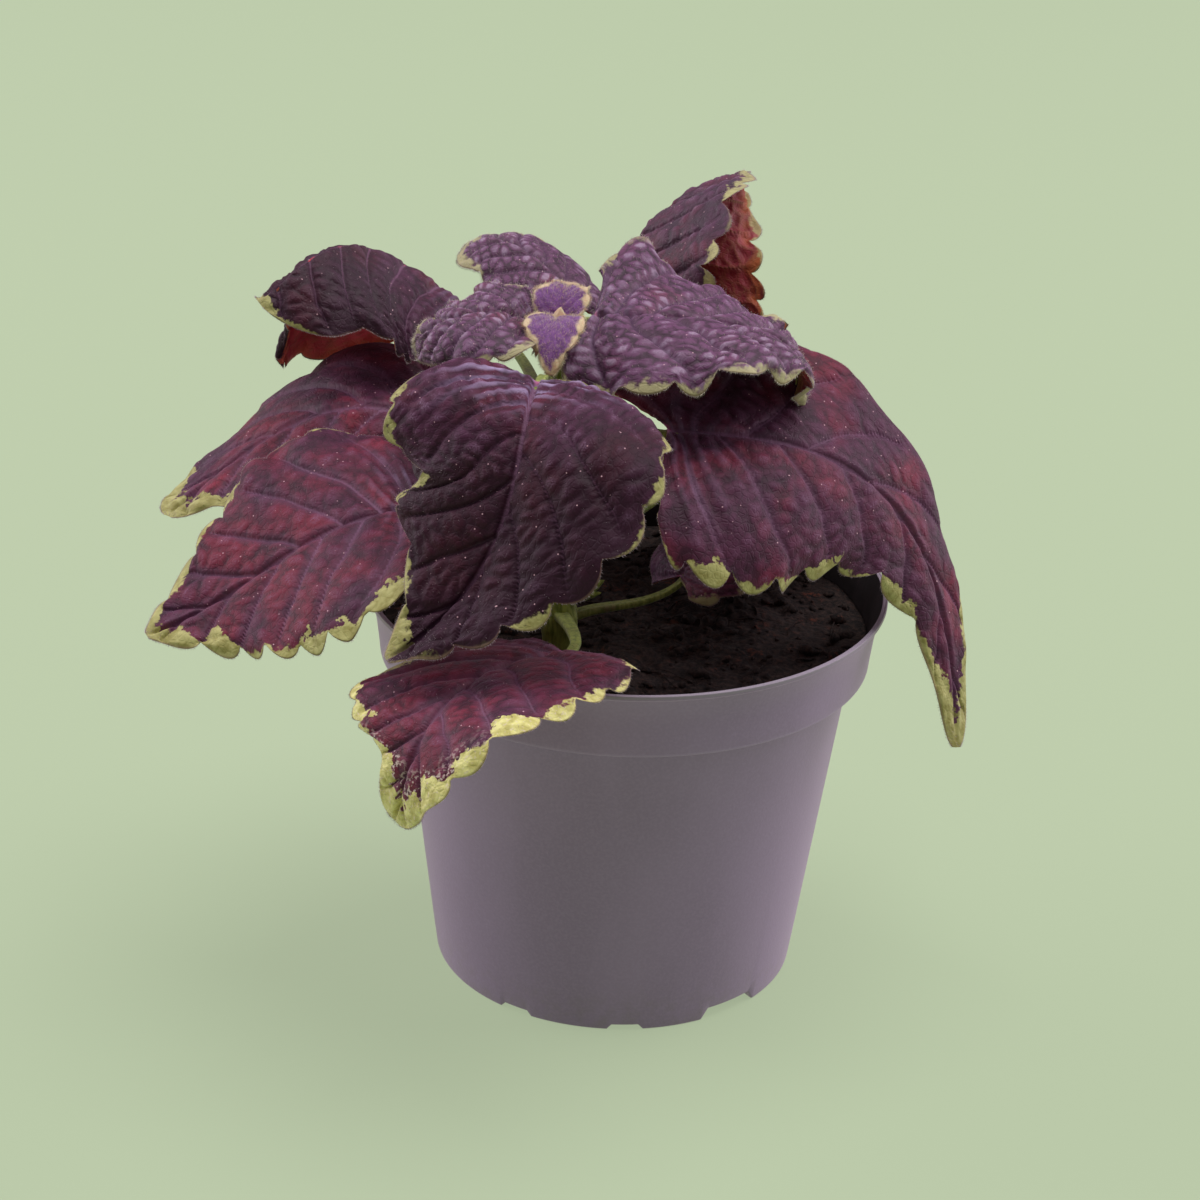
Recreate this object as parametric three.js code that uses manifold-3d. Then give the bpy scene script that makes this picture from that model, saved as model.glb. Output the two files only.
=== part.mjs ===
// A coleus in a round plastic grower's pot, in millimetres, with +Z up.
// The origin is the middle of the pot's foot, and the plant leans out towards -Y, its front.

import * as THREE from "three";
import { mergeVertices } from "three/addons/utils/BufferGeometryUtils.js";
import Module from "manifold-3d";

const wasm = await Module();
wasm.setup();

// ---- Driving dimensions ---------------------------------------------------------------------

const GAP = 0.3; // clearance between two pieces that touch

const POT = {
  height: 94.4,
  rim: 60, // radius outside the rim
  foot: 42.4, // radius at the foot
  crease: [52.6, 77.6], // radius and height where the collar's step leaves the body
  collar: [56.6, 78.1], // radius and height at the collar's lower edge
  brow: [57.8, 88.5], // radius and height where the collar begins to widen
  neck: [59.3, 92.9], // radius and height under the rim's bead
  bead: 1, // height of the rim's bead
  wall: 1.2,
  floor: 1.6,
  bevel: 0.8, // at the foot
  round: 0.35, // rounding of the rim's edges
  sides: 60,
};

const NOTCH = {
  count: 10, // drainage notches round the foot
  every: 5, // one place in so many has a wide one
  bare: [1, 2], // places after each wide one that have none
  first: 40.5, // angle of the first wide notch, from the front towards +X
  wide: { width: 16, top: 12.5, height: 2.6 },
  small: { width: 8.4, top: 6.2, height: 1.2 },
  depth: 6, // how far a notch runs in under the floor
};

const SOIL = { top: 84, crown: 1.5, rings: 6 }; // crown: how much higher the soil lies at the middle

const STEM = {
  path: [[-15, -15, 72], [-15, -15, 105], [-17, -12, 135], [-17.5, -11, 157]],
  base: 3.9, // half width at the soil
  top: 1.7, // half width under the shoot tip
  edge: 1.1, // rounding of the four edges at the base
  steps: 14,
};

const BLADE = {
  thickness: 0.8,
  columns: [0, 0.4, 0.75], // share of the half width at which the faces are creased
  start: 0.012, // where the blade begins and ends along its outline
  end: 0.98,
  rows: 1.3, // how much closer together the rows lie on the rib towards the base
  bow: 1.15, // how the rows bow from the rib out to the margin
  open: 0.15, // the fold at the rib opens where the half width is under this share of the widest
  lobed: 0.42, // share of the outline that the basal lobe takes
  stepAcross: 0.05, // steps in the flat blade over which its slope is taken
  stepAlong: 5e-4,
};

// The scallops of the margin. depth is a share of the half width, and round and middle make them
// blunt lobes with narrow cuts between. They fade out at the base and the tip, and die out inwards
// with the power inwards. Where the blade is slim they keep the depth of a half width of slim.
const SCALLOP = {
  depth: 0.085, round: 0.6, middle: 0.62, base: 0.06, tip: 0.05, inwards: 8, slim: 0.45,
};

// A petiole leaves the stem with some lift, sinks under the blade by under and runs on below the
// first share of the midrib. handle says how far it keeps each direction.
const PETIOLE = {
  sides: 6, steps: 9, knots: 6, along: 0.16, under: 0.7, lift: 0.6, handle: 0.35,
  thick: 1.15, // its size at the stem and at its end, as shares of the leaf's stalk
  thin: 0.6,
};

// Each leaf: node is the height where its petiole leaves the stem, stalk the petiole's radius, and
// width the half width of the flat blade. belly, tip and lobe shape the blade's outline, and
// crenations is the number of scallops along each half. rib holds the four control points of the
// midrib, from the blade's base to its tip. Angles are in degrees, at the base and at the tip: roll
// turns the blade about its rib, keel is the dip of each half at the rib, and curl is how far it
// bends down on its way to the margin. wide stretches a half. Right is on the right of the heading.
const LEAVES = {
  leaf_front: {
    node: 143, stalk: 1.5, width: 33.5, belly: 0.79, tip: 1.21, lobe: 0.14, crenations: 10, colour: 0x5a3449,
    rib: [[-21, -35, 156], [-26, -66, 157], [-20, -61, 122], [-50, -75, 108]],
    roll: [0, -7],
    left: { keel: [-11, -25], curl: [73, 15], wide: 0.98 },
    right: { keel: [-15, -21], curl: [35, 66], wide: 1.03 },
  },
  leaf_left_front: {
    node: 116, stalk: 1.6, width: 34, belly: 0.76, tip: 1.26, lobe: 0.13, crenations: 10, colour: 0x6a2a3c,
    rib: [[-45, -24, 121], [-71, -35, 124], [-83, -28, 99], [-105, -40, 95]],
    roll: [-2, -20],
    left: { keel: [-7, 6], curl: [12, 6], wide: 1 },
    right: { keel: [-11, -10], curl: [1, 13], wide: 1.02 },
  },
  leaf_low_front: {
    node: 92, stalk: 1.6, width: 27.4, belly: 0.73, tip: 1.3, lobe: 0.13, crenations: 9, colour: 0x74354c,
    rib: [[-13, -49, 99], [-41, -72, 105], [-41, -104, 103], [-45, -86, 74]],
    roll: [12, 3],
    left: { keel: [-11, -15], curl: [26, 6], wide: 1.05 },
    right: { keel: [-6, -12], curl: [14, 9], wide: 0.94 },
  },
  leaf_right: {
    node: 129, stalk: 1.6, width: 38, belly: 0.6, tip: 1.61, lobe: 0.05, crenations: 12, colour: 0x5f2c42,
    rib: [[7, -17, 139], [42, -18, 139], [69, 2, 128], [80, -28, 66]],
    roll: [10, 28],
    left: { keel: [2, 13], curl: [-11, 5], wide: 1.03 },
    right: { keel: [4, 0], curl: [39, 49], wide: 1 },
  },
  leaf_upper_right: {
    node: 110, stalk: 1.6, width: 36, belly: 0.79, tip: 1.17, lobe: 0.12, crenations: 9, colour: 0x53304a,
    rib: [[-5, 43, 135], [-11, 50, 161], [11, 54, 174], [23, 77, 168]],
    roll: [-67, -71],
    left: { keel: [72, 79], curl: [17, 45], wide: 1.1 },
    right: { keel: [48, 49], curl: [20, -19], wide: 0.92 },
  },
  leaf_upper_left: {
    node: 129, stalk: 1.5, width: 36.5, belly: 0.9, tip: 1.05, lobe: 0.08, crenations: 9, colour: 0x53304a,
    rib: [[-41, 52, 142], [-70, 48, 167], [-70, 20, 158], [-87, 16, 159]],
    roll: [5, -11],
    left: { keel: [24, 28], curl: [-15, -15], wide: 0.95 },
    right: { keel: [59, 47], curl: [16, 35], wide: 1.08 },
  },
  leaf_left_middle: {
    node: 104, stalk: 1.5, width: 30, belly: 0.84, tip: 0.96, lobe: 0.11, crenations: 10, colour: 0x55222f,
    rib: [[-45, 10, 126], [-67, 12, 140], [-88, 18, 118], [-105, -4, 108]],
    roll: [-22, 0],
    left: { keel: [19, -8], curl: [42, 41], wide: 1.01 },
    right: { keel: [6, 7], curl: [-8, 45], wide: 1 },
  },
  leaf_young_left: {
    node: 148, stalk: 1.0, width: 18, belly: 0.78, tip: 1.19, lobe: 0.03, crenations: 7, colour: 0x6f4b6b,
    rib: [[-23.5, -6, 157], [-28, -12, 168], [-50, -15, 161], [-49, -6, 151]],
    roll: [7, -13],
    left: { keel: [-8, 21], curl: [15, 43], wide: 0.95 },
    right: { keel: [-23, 12], curl: [22, 52], wide: 1 },
  },
  leaf_young_right: {
    node: 152, stalk: 1.1, width: 25, belly: 0.66, tip: 1.49, lobe: 0.1, crenations: 9, colour: 0x6f4b6b,
    rib: [[-10, -1, 159], [11, -7, 162], [46, -7, 162], [36, 1, 138]],
    roll: [-2, -2],
    left: { keel: [-9, 1], curl: [-25, 60], wide: 1.1 },
    right: { keel: [2, -8], curl: [45, 33], wide: 1.04 },
  },
  leaf_back: {
    node: 143, stalk: 1.2, width: 17, belly: 0.76, tip: 1.33, lobe: 0.12, crenations: 8, colour: 0x644560,
    rib: [[-13, 13, 156], [-15, 27, 157], [-31, 34, 170], [-40, 46, 159]],
    roll: [11, -10],
    left: { keel: [10, 13], curl: [31, 32], wide: 1 },
    right: { keel: [18, 6], curl: [17, 17], wide: 1 },
  },
  leaf_low_right: {
    node: 90, stalk: 1.4, width: 17, belly: 0.78, tip: 1.4, lobe: 0.19, crenations: 7, colour: 0x5b3a4e,
    rib: [[12, -2, 97], [18, 3, 106], [32, 10, 104], [44, 20, 95]],
    roll: [-18, 9],
    left: { keel: [-5, -2], curl: [4, 18], wide: 1 },
    right: { keel: [2, 12], curl: [31, 33], wide: 1 },
  },
  leaf_back_right: {
    node: 104, stalk: 1.6, width: 30, belly: 0.75, tip: 1.3, lobe: 0.12, crenations: 9, colour: 0x5a2f42,
    rib: [[8, 12, 113], [26, 32, 128], [46, 54, 120], [54, 76, 92]],
    roll: [0, 0],
    left: { keel: [5, 5], curl: [30, 40], wide: 1 },
    right: { keel: [5, 5], curl: [30, 40], wide: 1 },
  },
  leaf_back_left: {
    node: 92, stalk: 1.6, width: 30, belly: 0.75, tip: 1.3, lobe: 0.12, crenations: 9, colour: 0x5a2f42,
    rib: [[-24, 26, 110], [-30, 48, 125], [-36, 70, 118], [-44, 86, 92]],
    roll: [0, 0],
    left: { keel: [5, 5], curl: [30, 40], wide: 1 },
    right: { keel: [5, 5], curl: [30, 40], wide: 1 },
  },
};

// The shoot tip's two tiny leaves, and the bud between them.
const TIP_LEAVES = [
  {
    width: 6.2, belly: 0.7, tip: 1.2, lobe: 0.06, crenations: 5,
    rib: [[-17, -9.5, 160], [-17, -7, 165], [-16.5, -2, 167], [-15, 3, 164]],
    roll: [0, 0],
    left: { keel: [-20, -10], curl: [-10, 10], wide: 1 },
    right: { keel: [-20, -10], curl: [-10, 10], wide: 1 },
  },
  {
    width: 6.4, belly: 0.62, tip: 1.3, lobe: 0.06, crenations: 5,
    rib: [[-18, -12, 162], [-18.5, -19, 164], [-18.5, -25, 160.5], [-18.5, -28, 154.5]],
    roll: [0, 0],
    left: { keel: [-15, 10], curl: [15, 30], wide: 1 },
    right: { keel: [-15, 10], curl: [15, 30], wide: 1 },
  },
];
const BUD = { foot: [-17.5, -11, 157.4], radius: 2.5, height: 7, root: 1.3, sides: 8 };

// Dormant side buds just above the soil. angle is their direction from the front, and all lean out
// of the stem by lean and sit in it with the share inside of their length.
const SIDE_BUD = { lean: 55, rise: 0.5, inside: 0.3, around: 6, rings: 5 };
const SIDE_BUDS = [
  { angle: -70, height: 92, radius: 1.9, length: 4.6 },
  { angle: 95, height: 96, radius: 1.6, length: 5.4 },
];

// ---- Small helpers --------------------------------------------------------------------------

const vec = (xyz) => new THREE.Vector3(...xyz);
const radians = THREE.MathUtils.degToRad;
const mix = THREE.MathUtils.lerp;
const share = (value) => THREE.MathUtils.clamp(value, 0, 1);
const bezier = (points) => new THREE.CubicBezierCurve3(...points.map(vec));

/** A closed geometry as a solid that can be joined and cut. */
function solid(geometry) {
  const bare = geometry.clone();
  bare.deleteAttribute("normal");
  bare.deleteAttribute("uv");
  const merged = mergeVertices(bare, 1e-4);
  return new wasm.Manifold(new wasm.Mesh({
    numProp: 3,
    vertProperties: merged.attributes.position.array,
    triVerts: new Uint32Array(merged.index.array),
  }));
}

/** The mesh that shows a solid, under its node's name. */
function mesh(name, body, colour, roughness) {
  const data = body.getMesh();
  const geometry = new THREE.BufferGeometry();
  geometry.setAttribute("position", new THREE.BufferAttribute(data.vertProperties, 3));
  geometry.setIndex(new THREE.BufferAttribute(data.triVerts, 1));
  geometry.computeVertexNormals();
  const made = new THREE.Mesh(
    geometry,
    new THREE.MeshStandardMaterial({ color: colour, roughness, metalness: 0 }),
  );
  made.name = name;
  return made;
}

/** A section carried along a path, its size at each step multiplied by sizeAt(share of the path). */
function sweep(section, path, steps, sizeAt) {
  const geometry = new THREE.ExtrudeGeometry(section, {
    steps,
    extrudePath: path,
    curveSegments: 2,
  });
  const centres = path.getSpacedPoints(steps);
  const place = geometry.attributes.position;
  const point = new THREE.Vector3();
  for (let i = 0; i < place.count; i++) {
    point.fromBufferAttribute(place, i);
    const distances = centres.map((centre) => centre.distanceTo(point));
    const ring = distances.indexOf(Math.min(...distances));
    point.sub(centres[ring]).multiplyScalar(sizeAt(ring / steps)).add(centres[ring]);
    place.setXYZ(i, point.x, point.y, point.z);
  }
  return geometry;
}

/** A regular polygon as a section. */
function roundSection(radius, sides) {
  const corners = [];
  for (let i = 0; i < sides; i++) {
    const angle = (2 * Math.PI * i) / sides;
    corners.push(new THREE.Vector2(radius * Math.cos(angle), radius * Math.sin(angle)));
  }
  return new THREE.Shape(corners);
}

// ---- Pot and soil ---------------------------------------------------------------------------

/** The pot's profile, up the outside, over the rim and down the inside, closed on the axis. */
function potProfile() {
  const { height, rim, foot, crease, collar, brow, neck, bead, wall, floor, bevel, round } = POT;
  return [
    [0, 0],
    [foot - bevel, 0],
    [foot, bevel],
    crease,
    collar,
    brow,
    neck,
    [rim, height - bead],
    [rim, height - round],
    [rim - round, height],
    [rim - wall + round, height],
    [rim - wall, height - round],
    [brow[0] - wall, brow[1]],
    [collar[0] - wall, innerStep(collar)],
    [crease[0] - wall, innerStep(crease)],
    [foot - wall, floor],
    [0, floor],
  ].map(([radius, z]) => new THREE.Vector2(radius, z));
}

/** One drainage notch: a trapezium cut through the wall's foot, at an angle from the front. */
function notchCutter({ width, top, height }, angle) {
  const outline = new THREE.Shape([
    new THREE.Vector2(-width / 2, -1),
    new THREE.Vector2(width / 2, -1),
    new THREE.Vector2(width / 2, 0),
    new THREE.Vector2(top / 2, height),
    new THREE.Vector2(-top / 2, height),
    new THREE.Vector2(-width / 2, 0),
  ]);
  const cutter = new THREE.ExtrudeGeometry(outline, { depth: 2 * NOTCH.depth, bevelEnabled: false });
  cutter.rotateX(Math.PI / 2);
  cutter.translate(0, -(POT.foot - NOTCH.depth), 0);
  cutter.rotateZ(radians(angle));
  return solid(cutter);
}

function potSolid() {
  let pot = solid(new THREE.LatheGeometry(potProfile(), POT.sides).rotateX(Math.PI / 2));
  for (let i = 0; i < NOTCH.count; i++) {
    if (NOTCH.bare.includes(i % NOTCH.every)) continue;
    const size = i % NOTCH.every === 0 ? NOTCH.wide : NOTCH.small;
    pot = pot.subtract(notchCutter(size, NOTCH.first + (360 * i) / NOTCH.count));
  }
  return pot;
}

/** The height of the step inside the wall, over one of the two corners of the step outside. */
function innerStep([, height]) {
  return height + POT.wall;
}

/** The radius inside the pot's wall at a height. */
function insideRadius(z) {
  const { foot, floor, crease, collar, brow, wall } = POT;
  const corners = [[foot, floor], [crease[0], innerStep(crease)], [collar[0], innerStep(collar)], brow];
  const above = Math.max(1, corners.findIndex(([, height]) => z <= height));
  const [[low, lowZ], [high, highZ]] = [corners[above - 1], corners[above]];
  return mix(low, high, (z - lowZ) / (highZ - lowZ)) - wall;
}

/** One plug of soil, a little higher at the middle, with a plain hole for the stem. */
function soilSolid(hole) {
  const bottom = NOTCH.wide.height + GAP;
  const edge = insideRadius(SOIL.top - SOIL.crown) - GAP;
  const profile = [
    [0, bottom],
    [insideRadius(bottom) - GAP, bottom],
    [insideRadius(innerStep(POT.crease)) - GAP, innerStep(POT.crease) + GAP],
    [insideRadius(innerStep(POT.collar)) - GAP, innerStep(POT.collar) + GAP],
    [edge, SOIL.top - SOIL.crown],
  ];
  for (let i = SOIL.rings - 1; i >= 0; i--) {
    const out = i / SOIL.rings;
    profile.push([edge * out, SOIL.top - SOIL.crown * out ** 3]);
  }
  const points = profile.map(([radius, z]) => new THREE.Vector2(radius, z));
  return solid(new THREE.LatheGeometry(points, POT.sides / 2).rotateX(Math.PI / 2)).subtract(hole);
}

// ---- Stem -----------------------------------------------------------------------------------

/** The four-sided stem, tapering to the shoot tip; grown makes it thicker all round. */
function stemShaft(grown) {
  const { base, top, edge, steps, path } = STEM;
  const half = base + grown;
  const flat = half - edge;
  const section = new THREE.Shape([
    [half, -flat], [half, flat], [flat, half], [-flat, half],
    [-half, flat], [-half, -flat], [-flat, -half], [flat, -half],
  ].map(([x, y]) => new THREE.Vector2(x, y)));
  const sizeAt = (along) => (mix(base, top, along) + grown) / half;
  return solid(sweep(section, bezier(path), steps, sizeAt));
}

/** A point on the stem's axis at a height. */
function stemAt(height) {
  const path = bezier(STEM.path);
  const halvings = 30;
  let [low, high] = [0, 1];
  for (let i = 0; i < halvings; i++) {
    const middle = (low + high) / 2;
    if (path.getPoint(middle).z < height) low = middle;
    else high = middle;
  }
  return path.getPoint(low);
}

/** A blunt bud that leans out of the stem. */
function sideBud({ angle, height, radius, length }) {
  const { lean, rise, inside, around, rings } = SIDE_BUD;
  const bud = new THREE.SphereGeometry(1, around, rings).scale(radius, radius, length);
  bud.rotateY(radians(lean));
  bud.rotateZ(radians(angle - 90));
  const out = new THREE.Vector3(Math.sin(radians(angle)), -Math.cos(radians(angle)), rise);
  const place = stemAt(height).addScaledVector(out, STEM.base + length * inside);
  return solid(bud.translate(place.x, place.y, place.z));
}

function stemSolid() {
  return SIDE_BUDS.reduce((stem, bud) => stem.add(sideBud(bud)), stemShaft(0));
}

// ---- Leaves ---------------------------------------------------------------------------------

/** Where a point of the outline lies in the flat blade: across it, positive on the right, and along
 *  its rib from 0 to 1. t runs from base to tip, v from -1 on the left margin to 1 on the right. */
function flatPlace(leaf, t, v) {
  const side = v > 0 ? leaf.right : leaf.left;
  const a = Math.abs(v);
  const half = leaf.width * Math.sin(Math.PI * t ** leaf.belly);
  const margin = t ** leaf.tip - leaf.lobe * Math.sin(Math.PI * share(t / BLADE.lobed));
  const { depth, round, middle, base, tip, inwards, slim } = SCALLOP;
  const wave = Math.abs(Math.sin(Math.PI * t * leaf.crenations)) ** round - middle;
  const fade = share(t / base) * share((1 - t) / tip);
  const cut = depth * fade * wave * (leaf.width / Math.max(half, leaf.width * slim));
  return {
    across: Math.sign(v) * half * side.wide * (a + cut * a ** inwards),
    along: mix(t ** BLADE.rows, margin, a ** BLADE.bow),
    fold: share(half / (BLADE.open * leaf.width)),
  };
}

/** The flat blade bent into place: a function that takes a place in it and gives the point. */
function bending(leaf) {
  const rib = bezier(leaf.rib);
  const length = rib.getLength();
  const heading = vec(leaf.rib[3]).sub(vec(leaf.rib[0]));
  const level = heading.cross(new THREE.Vector3(0, 0, 1)).normalize();
  return ({ across, along, fold }) => {
    const side = across > 0 ? leaf.right : leaf.left;
    const away = Math.abs(across);
    const y = share(along);
    const slope = derivative(leaf.rib, y).normalize();
    const point = rib.getPoint(y).addScaledVector(slope, (along - y) * length);
    const flatSide = level.clone().addScaledVector(slope, -slope.dot(level)).normalize();
    const flatUp = flatSide.clone().cross(slope);
    const roll = radians(mix(...leaf.roll, y));
    const outward = flatSide.clone().multiplyScalar(Math.cos(roll)).addScaledVector(flatUp, -Math.sin(roll));
    const upward = flatUp.multiplyScalar(Math.cos(roll)).addScaledVector(flatSide, Math.sin(roll));
    const keel = fold * radians(mix(...side.keel, y));
    const bend = (radians(mix(...side.curl, y)) || 1e-3) / leaf.width;
    const out = (Math.sin(keel + bend * away) - Math.sin(keel)) / bend;
    const down = (Math.cos(keel) - Math.cos(keel + bend * away)) / bend;
    return point.addScaledVector(outward, Math.sign(across) * out).addScaledVector(upward, -down);
  };
}

/** The direction in which a cubic Bezier curve runs at a share of its parameter. */
function derivative(points, at) {
  const [p0, p1, p2, p3] = points.map(vec);
  return p1.clone().sub(p0).multiplyScalar(3 * (1 - at) ** 2)
    .addScaledVector(p2.clone().sub(p1), 6 * (1 - at) * at)
    .addScaledVector(p3.clone().sub(p2), 3 * at ** 2);
}

/** The blade as two faces a thickness apart, split into triangles alike, and the wall between them.
 *  Inside, there is one row for each scallop, and the margin has three points for each. */
function bladeSolid(leaf) {
  const bend = bending(leaf);
  const trim = (t) => THREE.MathUtils.clamp(t, BLADE.start, BLADE.end);
  const top = [];
  const bottom = [];

  function addPoint(t, v) {
    const place = flatPlace(leaf, trim(t), v);
    const point = bend(place);
    const right = bend({ ...place, across: place.across + BLADE.stepAcross });
    const left = bend({ ...place, across: place.across - BLADE.stepAcross });
    const ahead = bend({ ...place, along: place.along + BLADE.stepAlong });
    const behind = bend({ ...place, along: place.along - BLADE.stepAlong });
    const normal = right.sub(left).cross(ahead.sub(behind)).normalize();
    top.push(point.clone().addScaledVector(normal, BLADE.thickness / 2));
    bottom.push(point.clone().addScaledVector(normal, -BLADE.thickness / 2));
    return top.length - 1;
  }

  const rows = [];
  const inner = BLADE.columns.slice(1);
  for (let k = 0; k <= leaf.crenations; k++) {
    const t = k / leaf.crenations;
    const left = inner.map((v) => addPoint(t, -v)).reverse();
    rows.push([...left, addPoint(t, 0), ...inner.map((v) => addPoint(t, v))]);
  }
  const marginOf = (v) => {
    const points = [];
    for (let k = 0; k <= 3 * leaf.crenations; k++) points.push(addPoint(k / (3 * leaf.crenations), v));
    return points;
  };
  const margins = { left: marginOf(-1), right: marginOf(1) };

  const face = [];
  const last = rows[0].length - 1;
  for (let k = 0; k < leaf.crenations; k++) {
    const [a, b] = [rows[k], rows[k + 1]];
    for (let i = 0; i < last; i++) {
      if (i < last / 2) face.push([a[i], a[i + 1], b[i]], [a[i + 1], b[i + 1], b[i]]);
      else face.push([a[i], a[i + 1], b[i + 1]], [a[i], b[i + 1], b[i]]);
    }
    const l = margins.left.slice(3 * k, 3 * k + 4);
    const r = margins.right.slice(3 * k, 3 * k + 4);
    face.push([a[0], l[1], l[0]], [a[0], b[0], l[1]], [b[0], l[2], l[1]], [b[0], l[3], l[2]]);
    face.push([a[last], r[0], r[1]], [a[last], r[1], b[last]], [b[last], r[1], r[2]], [b[last], r[2], r[3]]);
  }
  const around = [
    ...margins.left.slice().reverse(),
    ...rows[0],
    ...margins.right,
    ...rows.at(-1).slice().reverse(),
  ];
  const below = top.length;
  const triangles = [];
  face.forEach(([a, b, c]) => triangles.push(a, b, c, c + below, b + below, a + below));
  around.forEach((a, i) => {
    const b = around[(i + 1) % around.length];
    triangles.push(a, a + below, b + below, a, b + below, b);
  });
  const geometry = new THREE.BufferGeometry().setFromPoints([...top, ...bottom]);
  geometry.setIndex(triangles);
  return solid(geometry);
}

/** The petiole: out of the stem's axis, into the blade's base and on under its midrib. */
function petioleSolid(leaf) {
  const root = stemAt(leaf.node);
  const base = vec(leaf.rib[0]);
  const slope = derivative(leaf.rib, 0).normalize();
  const reach = root.distanceTo(base);
  const away = base.clone().sub(root).setZ(0).normalize().setZ(PETIOLE.lift).normalize();
  const stalk = new THREE.CubicBezierCurve3(
    root,
    root.clone().addScaledVector(away, reach * PETIOLE.handle),
    base.clone().addScaledVector(slope, -reach * PETIOLE.handle),
    base,
  );
  const rib = bezier(leaf.rib);
  const points = stalk.getSpacedPoints(PETIOLE.knots);
  points.push(rib.getPoint(PETIOLE.along / 2), rib.getPoint(PETIOLE.along));
  points.slice(PETIOLE.knots).forEach((point) => point.setZ(point.z - PETIOLE.under));
  const path = new THREE.CatmullRomCurve3(points);
  const section = roundSection(leaf.stalk, PETIOLE.sides);
  const sizeAt = (along) => mix(PETIOLE.thick, PETIOLE.thin, along);
  return solid(sweep(section, path, PETIOLE.steps, sizeAt));
}

function leafSolid(leaf, sleeve) {
  return bladeSolid(leaf).add(petioleSolid(leaf)).subtract(sleeve);
}

/** The bud between the two youngest leaves, which stand round its foot. */
function shootTipSolid() {
  const { foot, radius, height, root, sides } = BUD;
  const profile = [
    [0, 0], [root, 0], [radius, height / 3], [radius * 0.75, height * 0.7], [0, height],
  ].map(([r, z]) => new THREE.Vector2(r, z));
  const bud = new THREE.LatheGeometry(profile, sides).rotateX(Math.PI / 2).translate(...foot);
  return TIP_LEAVES.reduce((tip, leaf) => tip.add(bladeSolid(leaf)), solid(bud));
}

// ---- The whole plant ------------------------------------------------------------------------

const COLOURS = { pot: 0x6b6069, soil: 0x2a1d1a, stem: 0x76893a, tip: 0x6c3a72 };
const ROUGHNESS = { pot: 0.5, soil: 0.95, stem: 0.55, leaf: 0.7, tip: 0.75 };

const stem = stemSolid();
const sleeve = stemShaft(GAP);
const coleus = new THREE.Group();
coleus.add(mesh("pot", potSolid(), COLOURS.pot, ROUGHNESS.pot));
coleus.add(mesh("soil", soilSolid(sleeve), COLOURS.soil, ROUGHNESS.soil));
coleus.add(mesh("stem", stem, COLOURS.stem, ROUGHNESS.stem));
for (const [name, leaf] of Object.entries(LEAVES)) {
  coleus.add(mesh(name, leafSolid(leaf, sleeve), leaf.colour, ROUGHNESS.leaf));
}
coleus.add(mesh("shoot_tip", shootTipSolid(), COLOURS.tip, ROUGHNESS.tip));

export default coleus;
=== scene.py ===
"""A coleus in a round grower's pot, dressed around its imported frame.

Every piece is worked out in millimetres by a formula on a grid, and is scaled to metres when it
becomes a mesh. The leaves repeat the driving dimensions of the frame's own leaves.
"""

import bpy
import numpy as np
from bpy.props import FloatProperty, FloatVectorProperty, IntProperty, PointerProperty
from bpy.types import Operator, Panel, PropertyGroup
from mathutils import Matrix, Vector


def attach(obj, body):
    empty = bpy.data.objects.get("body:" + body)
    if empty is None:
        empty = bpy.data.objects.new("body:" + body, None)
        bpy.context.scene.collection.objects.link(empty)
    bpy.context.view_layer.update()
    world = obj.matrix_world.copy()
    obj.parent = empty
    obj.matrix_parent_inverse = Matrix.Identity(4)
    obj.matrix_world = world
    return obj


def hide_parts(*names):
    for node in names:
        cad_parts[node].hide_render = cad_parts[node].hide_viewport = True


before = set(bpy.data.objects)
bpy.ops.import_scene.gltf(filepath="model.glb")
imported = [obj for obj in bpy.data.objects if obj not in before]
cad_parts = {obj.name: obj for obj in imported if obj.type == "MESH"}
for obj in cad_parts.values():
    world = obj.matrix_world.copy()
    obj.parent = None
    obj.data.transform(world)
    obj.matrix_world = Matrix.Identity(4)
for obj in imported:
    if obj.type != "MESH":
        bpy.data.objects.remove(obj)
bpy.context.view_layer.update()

bl_info = {
    "name": "Potted coleus",
    "version": (1, 0, 0),
    "blender": (4, 5, 0),
    "location": "3D View > Sidebar > Coleus",
    "description": "Builds a coleus with quilted leaves in a grower's pot",
    "category": "Add Mesh",
}

MM = 0.001
UP = np.array([0.0, 0.0, 1.0])


def linear(red, green, blue):
    """The linear colour of a display colour given from 0 to 255."""
    shares = np.array([red, green, blue]) / 255.0
    low = shares / 12.92
    high = ((shares + 0.055) / 1.055) ** 2.4
    return tuple(float(value) for value in np.where(shares <= 0.04045, low, high))


# ---- Driving dimensions, in millimetres and degrees ------------------------------------------

# The pot. crease, collar, brow and neck are a radius and a height each.
POT = {
    "height": 94.4, "rim": 60.0, "foot": 42.4, "crease": (52.6, 77.6), "collar": (56.6, 78.1),
    "brow": (57.8, 88.5), "neck": (59.3, 92.9), "bead": 1.0, "wall": 1.2, "floor": 1.6,
}
# Drainage notches: the places round the foot, at every which of them a wide one comes, the places
# after it that stay bare, the first one's angle, and how far a notch reaches inwards.
NOTCH = {"count": 10, "every": 5, "bare": (1, 2), "first": 40.5, "depth": 6.0}
WIDE_NOTCH = {"width": 16.0, "top": 12.5, "height": 2.6}
SMALL_NOTCH = {"width": 8.4, "top": 6.2, "height": 1.2}
# The peat: its levels, its slack on the pot's ledges, the rise and the size of its hollows, clods,
# crumbs and grains, and the numbers of loose crumbs and fibres, with the least and the spread of
# the crumbs' radius, the fibres' length and the fibres' radius.
SOIL = {
    "top": 84.0, "crown": 1.5, "bottom": 4.0, "slack": 0.3, "hollow": (1.6, 15.0), "clod": (1.3, 5.0),
    "crumb": (0.9, 1.9), "grain": (0.5, 2.6), "loose": 620, "loose_size": (0.45, 1.5),
    "fibres": 70, "fibre_length": (4, 9), "fibre_size": (0.13, 0.16),
}
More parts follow.
